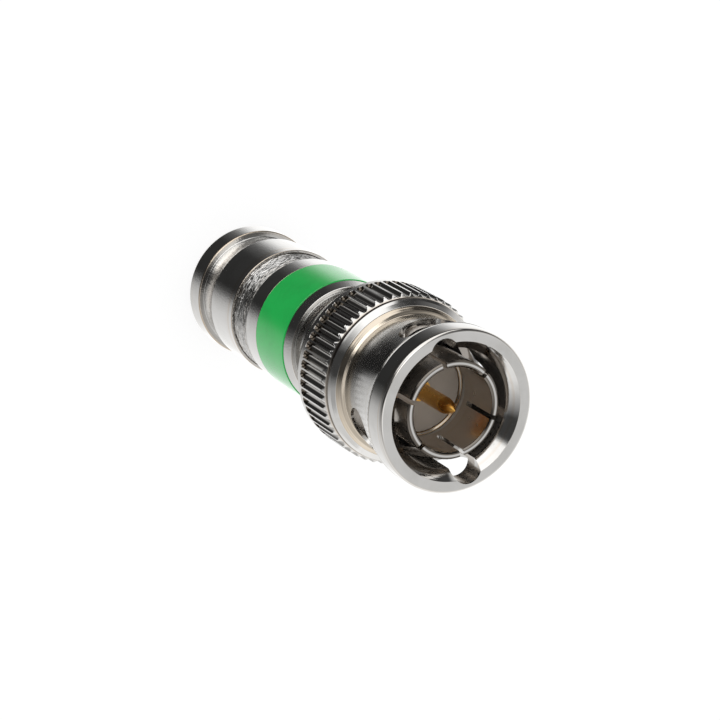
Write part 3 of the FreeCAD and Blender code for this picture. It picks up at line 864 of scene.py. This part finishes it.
@dataclass(frozen=True)
class MouldedPlastic:
    """Moulded plastic or rubber with grain, haze and fine scratches, in metres."""

    colour: Colour
    shade: Colour
    roughness: float
    haze_roughness: float
    grains_per_m: float
    grain_depth: float
    coat: float = 0.0
    coat_roughness: float = 0.04
    haze_share: float = 0.6
    speck_share: float = 0.35
    scratch_roughness: float = 0.10

    def build(self, name: str, effects: Effects) -> bpy.types.Material:
        """Wires the material.

        Args:
            name: the material's name.
            effects: the shared groups.

        Returns:
            The material.
        """
        material, bench, shader = Finish.blank(name)
        shader.inputs["Coat Weight"].default_value = self.coat
        shader.inputs["Coat Roughness"].default_value = self.coat_roughness
        grain = Finish.use(bench, effects.grain, Grains_per_m=self.grains_per_m)
        marks = Finish.use(bench, effects.handling)
        tone = bench.mix(bench.times(marks["Haze"], self.haze_share), self.colour, self.shade)
        tone = bench.mix(bench.times(grain["Specks"], self.speck_share), tone, self.shade)
        rough = bench.span(marks["Haze"], 0.0, 1.0, self.roughness, self.haze_roughness)
        rough = bench.plus(rough, bench.times(marks["Scratch"], self.scratch_roughness))
        Finish.wire(bench, shader, tone, rough, grain["Height"], self.grain_depth)
        return material


class Finishes:
    """Every finish of the plug, built once.

    A zone starts with its low and high end, its inner and outer radius, its tint and its share.
    Most of the tints here are painted shade.
    """

    CONTACT_SHADE_ZONES = (
        # Painted shade: dark rims either side of a thin highlight on the contact's end face.
        Zone(38.70, 39.00, 3.40, 3.71, PAINTED_SHADE, 0.85, soft=0.03),
        Zone(38.70, 39.00, 3.85, 4.20, PAINTED_SHADE, 0.85, soft=0.03),
        # Painted shade: brown down the contact's bore.
        Zone(33.90, 38.78, 3.35, 3.58, (0.46, 0.38, 0.30, 1.0), 0.7, roughness=0.14),
        # Painted shade: dark brown on the contact's outer wall inside the nut, with a thin film.
        Zone(30.00, 38.78, 3.97, 4.15, (0.22, 0.17, 0.12, 1.0), 0.6, roughness=0.08, film=0.14),
        # Painted shade: golden brown at the contact's root by the insulator.
        Zone(32.80, 33.90, 2.80, 3.60, (0.50, 0.32, 0.14, 1.0), 0.8, roughness=0.20),
    )
    # Painted shade: the grip's valleys darkened to brown.
    VALLEY_SHADE = Zone(26.00, 30.05, 6.80, 7.17, (0.14, 0.115, 0.085, 1.0), 0.38, soft=0.03)
    # Painted shade over the bright rounded rear ends of the valleys.
    VALLEY_END_SHADE = Zone(25.95, 26.56, 6.80, 7.214, PAINTED_SHADE, 0.92, soft=0.02)
    # Painted shade: a dark line on the land of the ring before the neck.
    RING_LAND_SHADE = Zone(30.28, 30.60, 6.75, 6.96, PAINTED_SHADE, 0.75, soft=0.03)
    THROAT = Zone(30.98, 31.50, 5.60, 6.40, (0.56, 0.45, 0.31, 1.0), 0.6, groove_depth=0.022)
    DISH = Zone(31.60, 37.20, 5.60, 6.66, BRIGHT, 0.0, groove_depth=0.002, soft=0.3, roughness=0.07)
    # Painted shade: brown in the bore and the lug tracks, with a thin film.
    TRACK_SHADE = Zone(
        31.00, 38.35, 4.30, 5.66, (0.30, 0.24, 0.18, 1.0), 0.5,
        roughness=0.08, film=0.12, soft=0.06,
    )
    # Painted shade: brown in the entry grooves by the mouth, with a thin film.
    ENTRY_SHADE = Zone(
        37.30, 39.25, 5.62, 6.40, (0.44, 0.36, 0.28, 1.0), 0.6,
        roughness=0.14, film=0.14, soft=0.06,
    )
    RECIPES = {
        Look.NICKEL: PlatedMetal(0.05, 0.11, skin_depth=0.000009),
        Look.CONTACT: PlatedMetal(0.07, 0.13, zones=CONTACT_SHADE_ZONES),
        Look.NUT: PlatedMetal(
            0.06, 0.12, 11000.0, 0.000002, edge_share=0.12, skin_depth=0.0000011,
            zones=(VALLEY_SHADE, VALLEY_END_SHADE, RING_LAND_SHADE, THROAT, DISH, TRACK_SHADE, ENTRY_SHADE),
        ),
        Look.TURNED: PlatedMetal(0.12, 0.20, 14000.0, 0.000004),
        Look.GOLD: PlatedMetal(
            0.26, 0.36, 12000.0, 0.000002,
            (0.84, 0.47, 0.11, 1.0), (0.72, 0.38, 0.09, 1.0), (0.58, 0.32, 0.09, 1.0),
        ),
        Look.STEEL: PlatedMetal(
            0.22, 0.34, 7000.0, 0.000003,
            (0.56, 0.56, 0.56, 1.0), (0.46, 0.46, 0.47, 1.0), (0.34, 0.32, 0.30, 1.0),
        ),
        Look.BAND: MouldedPlastic(
            (0.018, 0.44, 0.083, 1.0), (0.014, 0.38, 0.070, 1.0),
            0.10, 0.18, 5200.0, 0.0000012, coat=0.2,
        ),
        # Painted shade: the white insulator is given a grey-brown colour for the shade deep inside
        # the contact.
        Look.INSULATOR: MouldedPlastic(
            (0.46, 0.415, 0.365, 1.0), (0.39, 0.345, 0.295, 1.0), 0.42, 0.55, 6000.0, 0.000004,
        ),
        Look.PLASTIC: MouldedPlastic(
            (0.75, 0.73, 0.66, 1.0), (0.62, 0.59, 0.51, 1.0), 0.38, 0.50, 4200.0, 0.000004,
        ),
        Look.RUBBER: MouldedPlastic(
            (0.028, 0.028, 0.030, 1.0), (0.060, 0.058, 0.056, 1.0), 0.55, 0.72, 5200.0, 0.000006,
        ),
    }

    def __init__(self) -> None:
        """Builds the shared groups, then the materials."""
        effects = Effects()
        recipes = self.RECIPES.items()
        self.made = {look: recipe.build(look.value, effects) for look, recipe in recipes}

    def dress(self, piece: bpy.types.Object, look: Look) -> None:
        """Gives a piece one material, in its own slot if it has one.

        Args:
            piece: a new piece or a carried-over node.
            look: the finish.
        """
        if not piece.material_slots:
            piece.data.materials.append(self.made[look])
        for slot in piece.material_slots:
            slot.material = self.made[look]


def place(piece: bpy.types.Object, body: Body, slot: Slot, *nodes: str) -> None:
    """Ties a new piece to its body and hides the nodes that it stands for.

    Args:
        piece: the new piece.
        body: the body that it rides on.
        slot: its material slot in the record; not used.
        *nodes: names of the nodes.
    """
    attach(piece, body.value)
    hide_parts(*nodes)


class SubAssembly:
    """A sub-assembly that is one turned piece. Its sizes are in millimetres.

    NAME is the piece's name, NODE the node that it stands for and STEPS the positions round it.
    """

    NAME: ClassVar[str]
    NODE: ClassVar[str]
    LOOK: ClassVar[Look] = Look.NICKEL
    BODY: ClassVar[Body] = Body.PLUG
    SLOT: ClassVar[Slot] = Slot.NICKEL
    STEPS: ClassVar[int] = 192
    OWN_NORMALS: ClassVar[bool] = True

    def corners(self) -> list:
        """Rows of (radius, height, corner radius) round the outline, counter-clockwise."""
        raise NotImplementedError

    def relief(self, outline: Outline) -> np.ndarray:
        """Depth of the surface below the outline: none on a plain piece."""
        return np.zeros((len(outline.points), self.STEPS))

    def cutters(self) -> list:
        """Closed solids that are taken out of the piece: none on a plain one."""
        return []

    def build(self, finishes: Finishes) -> bpy.types.Object:
        """Makes, dresses and places the piece.

        Args:
            finishes: the materials.

        Returns:
            The new piece.
        """
        outline = rounded_outline(np.array(self.corners(), float) * MM)
        piece = turned_piece(self.NAME, outline, self.relief(outline), self.OWN_NORMALS)
        cutters = self.cutters()
        if cutters:
            cut_away(piece, cutters)
        finishes.dress(piece, self.LOOK)
        place(piece, self.BODY, self.SLOT, self.NODE)
        return piece


@dataclass
class SleeveShell(SubAssembly):
    """Compression sleeve: end ring, tapered neck, plain skirt."""

    NAME = "sleeve_shell"
    NODE = "compression_sleeve"
    BODY = Body.SLEEVE

    end_radius: float = 5.75
    neck_radius: float = 5.22
    skirt_radius: float = 5.63
    end_length: float = 2.10
    neck_length: float = 2.55
    flare_power: float = 1.8
    flare_ends: Pair = (0.06, 0.96)
    flare_rows: int = 14
    length: float = 8.93
    skirt_bore: float = 5.38
    nose_bore: float = 4.78
    step_height: float = 4.60
    end_wall: float = 1.25
    recess_radius: float = 3.90
    recess_height: float = 0.90
    inlet_radius: float = 3.60
    inlet_chamfer: float = 0.25

    def corners(self) -> list:
        """Outline from the cable end's inner edge, counter-clockwise.

        The neck flares as r = neck + (skirt - neck) t^p over the share t of its length.

        Returns:
            Rows of (radius, height, corner radius).
        """
        share = np.linspace(*self.flare_ends, self.flare_rows)
        flare = self.neck_radius + (self.skirt_radius - self.neck_radius) * share**self.flare_power
        return [
            (self.inlet_radius + self.inlet_chamfer, 0.0, 0.05),
            (self.end_radius, 0.0, 0.18),
            (self.end_radius, self.end_length, 0.13),
            (self.neck_radius, self.end_length, 0.06),
            *zip(flare, self.end_length + self.neck_length * share, np.zeros(len(share))),
            (self.skirt_radius, self.end_length + self.neck_length, 0.06),
            (self.skirt_radius, self.length, 0.07),
            (self.skirt_bore, self.length, EASED),
            (self.skirt_bore, self.step_height, FINE),
            (self.nose_bore, self.step_height, FINE),
            (self.nose_bore, self.end_wall, FINE),
            (self.recess_radius, self.end_wall, FINE),
            (self.recess_radius, self.recess_height, FINE),
            (self.inlet_radius, self.recess_height, FINE),
            (self.inlet_radius, self.inlet_chamfer, FINE),
        ]


@dataclass
class TailTube(SubAssembly):
    """Tube that the sleeve runs over, roughly turned."""

    NAME = "tail_tube"
    NODE = "body_tail"
    LOOK = Look.TURNED
    SLOT = Slot.TURNED
    STEPS = 400

    radius: float = 5.35
    bore: float = 4.22
    nose_radius: float = 4.72
    spigot_radius: float = 4.75
    nose_height: float = 4.30
    step_height: float = 7.65
    groove_low: float = 7.99
    groove_high: float = 8.59
    groove_radius: float = 4.89
    shoulder_height: float = 11.90
    front_height: float = 14.80
    row_pitch: float = 0.019
    rough_start: float = 8.67
    rough_end: float = 11.80
    fade: float = 0.10
    groove_pitch: float = 0.15
    groove_depth: float = 0.19
    least_share: float = 0.50
    wander: float = 1.2

    def corners(self) -> list:
        """Outline from the rear end of the bore, with close rows where the tube is rough.

        Returns:
            Rows of (radius, height, corner radius).
        """
        return [
            (self.bore, self.nose_height, EASED),
            (self.nose_radius, self.nose_height, 0.08),
            (self.nose_radius, self.step_height, EASED),
            (self.radius, self.step_height, 0.08),
            (self.radius, self.groove_low, FINE),
            (self.groove_radius, self.groove_low, FINE),
            (self.groove_radius, self.groove_high, FINE),
            (self.radius, self.groove_high, FINE),
            *straight_run(self.radius, self.rough_start, self.rough_end, self.row_pitch),
            (self.radius, self.shoulder_height, CRISP),
            (self.spigot_radius, self.shoulder_height, CRISP),
            (self.spigot_radius, self.front_height, EASED),
            (self.bore, self.front_height, EASED),
        ]

    def relief(self, outline: Outline) -> np.ndarray:
        """Depth of the torn grooves of rough turning.

        Depth is D w(z) s frac(z / pitch + d), a saw-tooth wave. The window w fades it out at both
        ends, the share s is random by spot and the shift d wanders slowly over the surface.

        Args:
            outline: the tube's outline in metres.

        Returns:
            Depth in millimetres, one row for each point of the outline.
        """
        height = outline.points[:, 1] / MM
        outside = outline.points[:, 0] / MM > self.radius - 0.01
        rise = np.clip((height - self.rough_start) / self.fade, 0.0, 1.0)
        fall = np.clip((self.rough_end - height) / self.fade, 0.0, 1.0)
        window = (rise * fall * outside)[:, None]
        share = speckle(len(height), self.STEPS, along=2, around=6, seed=7)
        size = self.least_share + (1.0 - self.least_share) * share
        shift = self.wander * speckle(len(height), self.STEPS, along=8, around=24, seed=11)
        wave = np.mod(height[:, None] / self.groove_pitch + shift, 1.0)
        return self.groove_depth * window * size * wave


@dataclass
class FrontBody(SubAssembly):
    """Main body: shoulder, seat of the band, nose, collar and journal."""

    NAME = "front_body"
    NODE = "main_body"

    spigot_radius: float = 4.75
    shoulder_radius: float = 5.60
    seat_radius: float = 5.25
    cone_rear_radius: float = 5.54
    cone_front_radius: float = 5.23
    cone_front: float = 20.23
    nose_radius: float = 5.18
    collar_radius: float = 4.80
    journal_radius: float = 4.30
    bore: float = 3.55
    flange_seat: float = 4.00
    shoulder_height: float = 11.90
    band_rear: float = 14.05
    band_front: float = 19.38
    nose_height: float = 20.30
    rib_height: float = 20.12
    collar_top: float = 23.80
    front_height: float = 27.21
    post_front: float = 16.40
    post_rear: float = 14.80

    def corners(self) -> list:
        """Outline from the rear spigot, counter-clockwise.

        Returns:
            Rows of (radius, height, corner radius).
        """
        return [
            (self.spigot_radius, self.shoulder_height, CRISP),
            (self.shoulder_radius, self.shoulder_height, 0.12),
            (self.shoulder_radius, self.band_rear, EASED),
            (self.seat_radius, self.band_rear, CRISP),
            (self.seat_radius, self.band_front, CRISP),
            (self.cone_rear_radius, self.band_front, FINE),
            (self.cone_front_radius, self.cone_front, EASED),
            (self.nose_radius, self.nose_height, FINE),
            (self.collar_radius, self.rib_height, 0.06),
            (self.collar_radius, self.collar_top, 0.08),
            (self.journal_radius, self.collar_top, EASED),
            (self.journal_radius, self.front_height, EASED),
            (self.bore, self.front_height, FINE),
            (self.bore, self.post_front, FINE),
            (self.flange_seat, self.post_front, CRISP),
            (self.flange_seat, self.post_rear, CRISP),
            (self.spigot_radius, self.post_rear, CRISP),
        ]


@dataclass
class SizeBand(SubAssembly):
    """Coloured plastic ring that tells the cable size."""

    NAME = "size_band"
    NODE = "colour_band"
    LOOK = Look.BAND
    SLOT = Slot.BAND

    inner: float = 5.25
    outer: float = 5.62
    rear: float = 14.05
    front: float = 19.38
    edge: float = 0.07

    def corners(self) -> list:
        """Outline from the rear inner edge, counter-clockwise.

        Returns:
            Rows of (radius, height, corner radius).
        """
        return [
            (self.inner, self.rear, CRISP),
            (self.outer, self.rear, self.edge),
            (self.outer, self.front, self.edge),
            (self.inner, self.front, CRISP),
        ]


@dataclass
class BayonetNut(SubAssembly):
    """Bayonet nut: knurled grip, dished neck, flange and two lug tracks.

    Turns are degrees from the entry, and the tracks run clockwise seen from the mouth.
    """

    NAME = "bayonet_nut"
    NODE = "coupling_nut"
    LOOK = Look.NUT
    BODY = Body.NUT
    STEPS = 616
    OWN_NORMALS = False

    bore: float = 4.95
    lip_bore: float = 4.36
    rear_radius: float = 6.23
    knurl_radius: float = 7.22
    throat_radius: float = 5.77
    neck_radius: float = 6.66
    mouth_radius: float = 5.71
    rear: float = 23.82
    lip_front: float = 25.37
    knurl_rear: float = 25.80
    knurl_front: float = 29.95
    ring_height: float = 30.30
    ring: Rows = ((6.85, 30.42, 0.01), (6.88, 30.57, CRISP))
    slope: Rows = ((6.68, 30.75, 0.05), (6.40, 30.96, 0.06), (6.06, 31.30, 0.10))
    flange: Rows = ((6.73, 37.45, CRISP), (6.70, 37.485, 0.01), (6.71, 39.40, 0.28))
    throat_height: float = 31.40
    throat_round: float = 0.035
    flange_rear: float = 37.25
    front: float = 39.40
    chamfer: float = 0.98
    bore_rows: Pair = (35.0, 32.0)
    dish_ends: Pair = (0.03, 0.985)
    dish_rows: int = 20
    dish_line: float = 0.75
    dish_power: float = 2.5
    cone_front: Pair = (6.90, 30.28)
    cone_ends: Pair = (0.03, 0.97)
    cone_rows: int = 8
    valley_count: int = 56
    valley_radius: float = 0.30
    valley_axis: float = 7.24
    valley_low: float = 26.50
    grip_floor: float = 6.86
    grip_end: Pair = (26.16, 26.56)
    end_pitch: float = 0.04
    grip_run: Pair = (27.60, 29.91)
    grip_pitch: float = 1.1
    entries: Pair = (90.0, 270.0)
    track_radius: float = 1.20
    track_inner: float = 4.50
    track_floor: float = 5.60
    entry_axis: float = 5.05
    entry_end: float = 34.85
    drill_top: float = 40.60
    level_height: float = 33.10
    level_start: float = -35.5
    closed: float = -88.0
    detent_rise: float = 1.25
    window_radius: float = 2.05
    window_floor: float = 5.32
    window_outer: float = 7.60
    entry_window: Pair = (-3.5, -13.0)
    entry_window_height: float = 36.00
    detent_window: Pair = (-76.9, -77.1)
    detent_window_height: float = 34.10
    window_front: float = 37.20

    def corners(self) -> list:
        """Outline from the lip's inner edge, counter-clockwise.

        Returns:
            Rows of (radius, height, corner radius).
        """
        start, end = np.array([self.knurl_radius, self.knurl_front]), np.array(self.cone_front)
        cone = start + (end - start) * np.linspace(*self.cone_ends, self.cone_rows)[:, None]
        return [
            (self.lip_bore, self.rear, FINE),
            (self.rear_radius, self.rear, 0.09),
            (self.knurl_radius, self.knurl_rear, 0.05),
            *straight_run(self.knurl_radius, *self.grip_end, self.end_pitch),
            *straight_run(self.knurl_radius, *self.grip_run, self.grip_pitch),
            *((radius, height, 0.0) for radius, height in cone),
            *self.ring,
            *self.slope,
            (self.throat_radius + self.throat_round, self.throat_height, 0.01),
            (self.throat_radius, self.throat_height + self.throat_round, 0.01),
            *((radius, height, 0.0) for radius, height in self.dish()),
            (self.neck_radius + 0.005, self.flange_rear, CRISP),
            *self.flange,
            (self.mouth_radius, self.front, 0.05),
            (self.bore, self.front - self.chamfer, 0.05),
            *((self.bore, height, 0.0) for height in self.bore_rows),
            (self.bore, self.lip_front, FINE),
            (self.lip_bore, self.lip_front, FINE),
        ]

    def dish(self) -> np.ndarray:
        """The neck's hollow: r = throat + rise (a t + (1 - a) t^p) for the share t of its length.

        Returns:
            Rows of (radius, height).
        """
        t = np.linspace(*self.dish_ends, self.dish_rows)
        rise = self.neck_radius - self.throat_radius
        curve = self.dish_line * t + (1.0 - self.dish_line) * t**self.dish_power
        low = self.throat_height + self.throat_round
        height = low + (self.flange_rear - low) * t
        return np.stack([self.throat_radius + rise * curve, height], axis=1)

    def relief(self, outline: Outline) -> np.ndarray:
        """Depth of the grip's straight valleys, whose rear ends are parts of a ball.

        Depth is r - (axis - sqrt(R^2 - w^2 - e^2)), where w is the arc from the valley's middle and
        e = min(z - low, 0) the distance into its rounded end.

        Args:
            outline: the nut's outline in metres.

        Returns:
            Depth in millimetres, one row for each point of the outline.
        """
        radius, height = outline.points[:, :1] / MM, outline.points[:, 1:] / MM
        pitch = FULL_TURN / self.valley_count
        angle = np.arange(self.STEPS) * FULL_TURN / self.STEPS
        arc = self.knurl_radius * (np.mod(angle, pitch) - pitch / 2.0)[None, :]
        end = np.minimum(height - self.valley_low, 0.0)
        inside = self.valley_radius**2 - arc**2 - end**2
        floor = self.valley_axis - np.sqrt(np.maximum(inside, 0.0))
        on_grip = (height > self.knurl_rear + 0.1) & (height < self.ring_height)
        on_grip &= radius > self.grip_floor
        return np.where((inside > 0.0) & on_grip, np.maximum(radius - floor, 0.0), 0.0)

    def cutters(self) -> list:
        """Lug tracks and windows, twice.

        Returns:
            Closed cutters.
        """
        channel = [
            (0.0, self.entry_end),
            (self.level_start, self.level_height),
            (self.closed, self.level_height),
            (self.closed, self.level_height + self.detent_rise),
        ]
        windows = {
            "entry_window": [(turn, self.entry_window_height) for turn in self.entry_window],
            "detent_window": [(turn, self.detent_window_height) for turn in self.detent_window],
        }
        track = self.track_radius, self.track_floor, (self.track_inner, self.track_floor), FAR
        window = (
            self.window_radius, self.track_floor, (self.window_floor, self.window_outer),
            self.window_front,
        )
        drill = self.track_radius, self.entry_axis, self.entry_end, self.drill_top
        cuts = []
        for entry in self.entries:
            cuts.append(polar_slab("channel", channel, *track, entry))
            cuts += [polar_slab(name, path, *window, entry) for name, path in windows.items()]
            cuts.append(round_nosed_drill("entry", *drill, entry))
        return cuts


class CarriedNodes:
    """The nodes whose shape is right as it is, and their finishes."""

    LOOKS = {
        Look.STEEL: ("thrust_washer", "wave_washers"),
        Look.CONTACT: ("front_shell", "outer_contact"),
        Look.RUBBER: ("mating_gasket", "body_seal", "jacket_seal"),
        Look.INSULATOR: ("front_insulator", "rear_insulator"),
        Look.GOLD: ("contact_pin", "contact_basket"),
        Look.PLASTIC: ("conductor_guide", "dielectric_stop", "grip_ring"),
        Look.NICKEL: ("post",),
    }

    def dress_all(self, nodes: dict, finishes: Finishes) -> list[str]:
        """Gives each of them its material.

        Args:
            nodes: the frame's nodes by name.
            finishes: the materials.

        Returns:
            Names of the nodes.
        """
        for look, names in self.LOOKS.items():
            for name in names:
                finishes.dress(nodes[name], look)
        return sorted(name for names in self.LOOKS.values() for name in names)

    def squeeze(self, nodes: dict) -> None:
        """Gives the wave washers a mesh of their own.

        Args:
            nodes: the frame's nodes by name.
        """
        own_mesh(nodes["wave_washers"])


class Studio:
    """Camera, floor, backdrop and the panels that stand round the plug.

    Polished metal looks like what stands round it, so the room is given to its reflections as
    white and dark panels by direction. Plain surfaces get an even light, and the camera sees white.
    A panel table holds pairs of azimuth in degrees, from the seam, and brightness. A band is a
    table and the two heights in degrees between which it takes over from the one below.
    """

    PLACE = (-0.0768477, 0.0829967, 0.2071939)
    RIGHT = (0.87352503, -0.1888628, 0.44864783)
    UP = (0.33382073, 0.90322017, -0.26973512)
    BACK = (-0.35428484, 0.38538832, 0.85203174)
    LENS, SENSOR = 130.0, 36.0
    NEAR_END, FAR_END = 0.01, 10.0
    FLOOR_HALF = 0.9
    FLOOR_MATT, FLOOR_SEEN = (0.85, 0.85, 0.85, 1.0), (0.24, 0.24, 0.24, 1.0)
    FLOOR_GLOW = 0.80
    WHITE = (1.0, 1.0, 1.0, 1.0)
    SEAM = -40.0
    STRENGTH = 2.0
    UNDER = (
        (-40, 1.30), (14, 1.20), (23, 0.80), (32, 0.30), (44, 0.12), (60, 0.06), (80, 0.02),
        (150, 0.02), (161, 0.05), (169, 0.24), (177, 0.50), (197, 0.72), (230, 0.85), (262, 1.00),
        (294, 1.20), (320, 1.30),
    )
    LOW = (
        (-40, 1.35), (14, 1.28), (22, 1.15), (28, 0.95), (37, 0.62), (47, 0.28), (57, 0.14),
        (67, 0.09), (80, 0.045), (150, 0.035), (158, 0.09), (164, 0.17), (172, 0.40), (180, 0.61),
        (197, 0.81), (230, 0.97), (262, 1.10), (294, 1.27), (320, 1.35),
    )
    LEVEL = (
        (-40, 1.30), (-8, 1.10), (2, 0.85), (10, 0.30), (20, 0.05), (44, 0.06), (54, 1.50),
        (110, 1.50), (122, 0.40), (132, 0.05), (150, 0.05), (170, 0.30), (185, 0.55), (205, 0.95),
        (220, 1.10), (250, 1.30), (320, 1.30),
    )
    RAISED = (
        (-40, 0.95), (10, 0.30), (40, 0.05), (56, 0.08), (62, 1.35), (70, 1.60), (126, 1.60),
        (130, 0.60), (134, 0.06), (165, 0.06), (172, 0.20), (188, 0.55), (200, 0.80), (215, 0.95),
        (320, 0.95),
    )
    HIGH = (
        (-40, 0.78), (0, 0.90), (10, 0.55), (20, 0.22), (60, 0.22), (68, 1.60), (98, 1.60),
        (108, 1.20), (118, 0.70), (130, 0.28), (142, 0.06), (172, 0.06), (187, 0.45), (210, 0.55),
        (233, 0.80), (290, 0.80), (320, 0.78),
    )
    STEEP = (
        (-40, 0.78), (0, 0.78), (12, 0.45), (42, 0.30), (52, 2.00), (60, 2.60), (126, 2.60),
        (136, 1.20), (146, 0.12), (168, 0.06), (178, 0.50), (190, 0.90), (217, 1.30), (250, 1.30),
        (290, 0.80), (320, 0.78),
    )
    BANDS = (
        (LOW, -68.0, -63.0), (LEVEL, -12.0, -5.0), (RAISED, 12.5, 16.5), (HIGH, 30.0, 36.0),
        (STEEP, 63.0, 69.0),
    )
    OVERHEAD = (0.375, 0.369375, 0.36, 1.0)
    OVERHEAD_ENDS = (79.0, 84.0)

    def camera(self) -> bpy.types.Object:
        """The photograph's camera.

        Returns:
            The camera object.
        """
        data = bpy.data.cameras.new("camera")
        data.lens, data.sensor_width = self.LENS, self.SENSOR
        data.clip_start, data.clip_end = self.NEAR_END, self.FAR_END
        camera = link_object("camera", data)
        turn = Matrix((self.RIGHT, self.UP, self.BACK)).transposed()
        camera.matrix_world = Matrix.Translation(Vector(self.PLACE)) @ turn.to_4x4()
        bpy.context.scene.camera = camera
        return camera

    def floor(self) -> bpy.types.Object:
        """Plain white floor. The camera sees it near white, with a faint contact shadow.

        Returns:
            The floor object.
        """
        half = self.FLOOR_HALF
        mesh = bpy.data.meshes.new("floor")
        verts = [(-half, -half, 0.0), (half, -half, 0.0), (half, half, 0.0), (-half, half, 0.0)]
        mesh.from_pydata(verts, [], [(0, 1, 2, 3)])
        floor = link_object("floor", mesh)
        material = bpy.data.materials.new("floor_white")
        bench = Bench.cleared(material)
        seen = bench.add("ShaderNodeLightPath").outputs["Is Camera Ray"]
        matt = bench.add("ShaderNodeBsdfDiffuse")
        bench.feed(matt.inputs["Color"], bench.mix(seen, self.FLOOR_MATT, self.FLOOR_SEEN))
        glow = bench.add("ShaderNodeEmission")
        bench.feed(glow.inputs["Strength"], bench.times(seen, self.FLOOR_GLOW))
        both = bench.add("ShaderNodeAddShader")
        bench.feed(both.inputs[0], matt.outputs[0])
        bench.feed(both.inputs[1], glow.outputs[0])
        bench.feed(bench.add("ShaderNodeOutputMaterial").inputs["Surface"], both.outputs[0])
        mesh.materials.append(material)
        floor.visible_glossy = False
        return floor

    def _panel(self, bench: Bench, turn: Socket, table: tuple) -> Socket:
        """Brightness round the horizon, straight between the given azimuths.

        Args:
            bench: bench on the world's tree.
            turn: azimuth from the seam, 0 to 1 for a whole turn.
            table: pairs of azimuth in degrees and brightness.

        Returns:
            The brightness socket, as a share of the panels' strength.
        """
        ramp = bench.add("ShaderNodeValToRGB")
        bench.feed(ramp.inputs["Fac"], turn)
        stops = ramp.color_ramp.elements
        for index, (azimuth, level) in enumerate(table):
            spot = (azimuth - self.SEAM) / 360.0
            stop = stops[index] if index < 2 else stops.new(spot)
            stop.position = spot
            stop.color = (*[level / self.STRENGTH] * 3, 1.0)
        return ramp.outputs["Color"]

    def room(self) -> bpy.types.World:
        """The room by ray: panels to reflections, white to the camera and even light to the rest.

        Returns:
            The world.
        """
        world = bpy.data.worlds.new("room")
        bench = Bench.cleared(world)
        world.cycles.sampling_method = "NONE"
        x, y, z = bench.split(bench.add("ShaderNodeTexCoord").outputs["Generated"])
        back = np.radians(self.SEAM + 180.0)
        east = bench.plus(bench.times(x, np.cos(back)), bench.times(y, np.sin(back)))
        north = bench.minus(bench.times(y, np.cos(back)), bench.times(x, np.sin(back)))
        azimuth = bench.math("DIVIDE", bench.math("ARCTAN2", north, east), FULL_TURN)
        turn = bench.plus(azimuth, 0.5)
        height = bench.times(bench.math("ARCSINE", z), 180.0 / np.pi)
        tone = self._panel(bench, turn, self.UNDER)
        for table, low, high in self.BANDS:
            tone = bench.mix(bench.span(height, low, high), tone, self._panel(bench, turn, table))
        tone = bench.mix(bench.span(height, *self.OVERHEAD_ENDS), tone, self.OVERHEAD)
        choose = bench.add("ShaderNodeMixShader")
        path = bench.add("ShaderNodeLightPath")
        bench.feed(choose.inputs[0], path.outputs["Is Glossy Ray"])
        for index, colour, strength in ((1, self.WHITE, 1.0), (2, tone, self.STRENGTH)):
            light = bench.add("ShaderNodeBackground")
            bench.feed(light.inputs["Color"], colour)
            light.inputs["Strength"].default_value = strength
            bench.feed(choose.inputs[index], light.outputs[0])
        bench.feed(bench.add("ShaderNodeOutputWorld").inputs["Surface"], choose.outputs[0])
        bpy.context.scene.world = world
        return world


def main() -> None:
    """Builds the studio, the new pieces and the finishes, in order."""
    logging.basicConfig(level=logging.INFO, format="%(name)s: %(message)s")
    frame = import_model()
    bpy.context.scene.view_settings.view_transform = "Standard"
    bpy.context.scene.cycles.glossy_bounces = GLOSSY_BOUNCES
    bpy.context.scene.cycles.max_bounces = BOUNCES
    studio = Studio()
    studio.camera()
    studio.floor()
    studio.room()
    finishes = Finishes()
    for assembly in (SleeveShell(), TailTube(), FrontBody(), SizeBand(), BayonetNut()):
        piece = assembly.build(finishes)
        LOG.info("%s: %d faces", piece.name, len(piece.data.polygons))
    carried = CarriedNodes()
    for name in carried.dress_all(frame["nodes"], finishes):
        LOG.info("%s: carried over with a new finish", name)
    carried.squeeze(frame["nodes"])


if __name__ == "__main__":
    main()
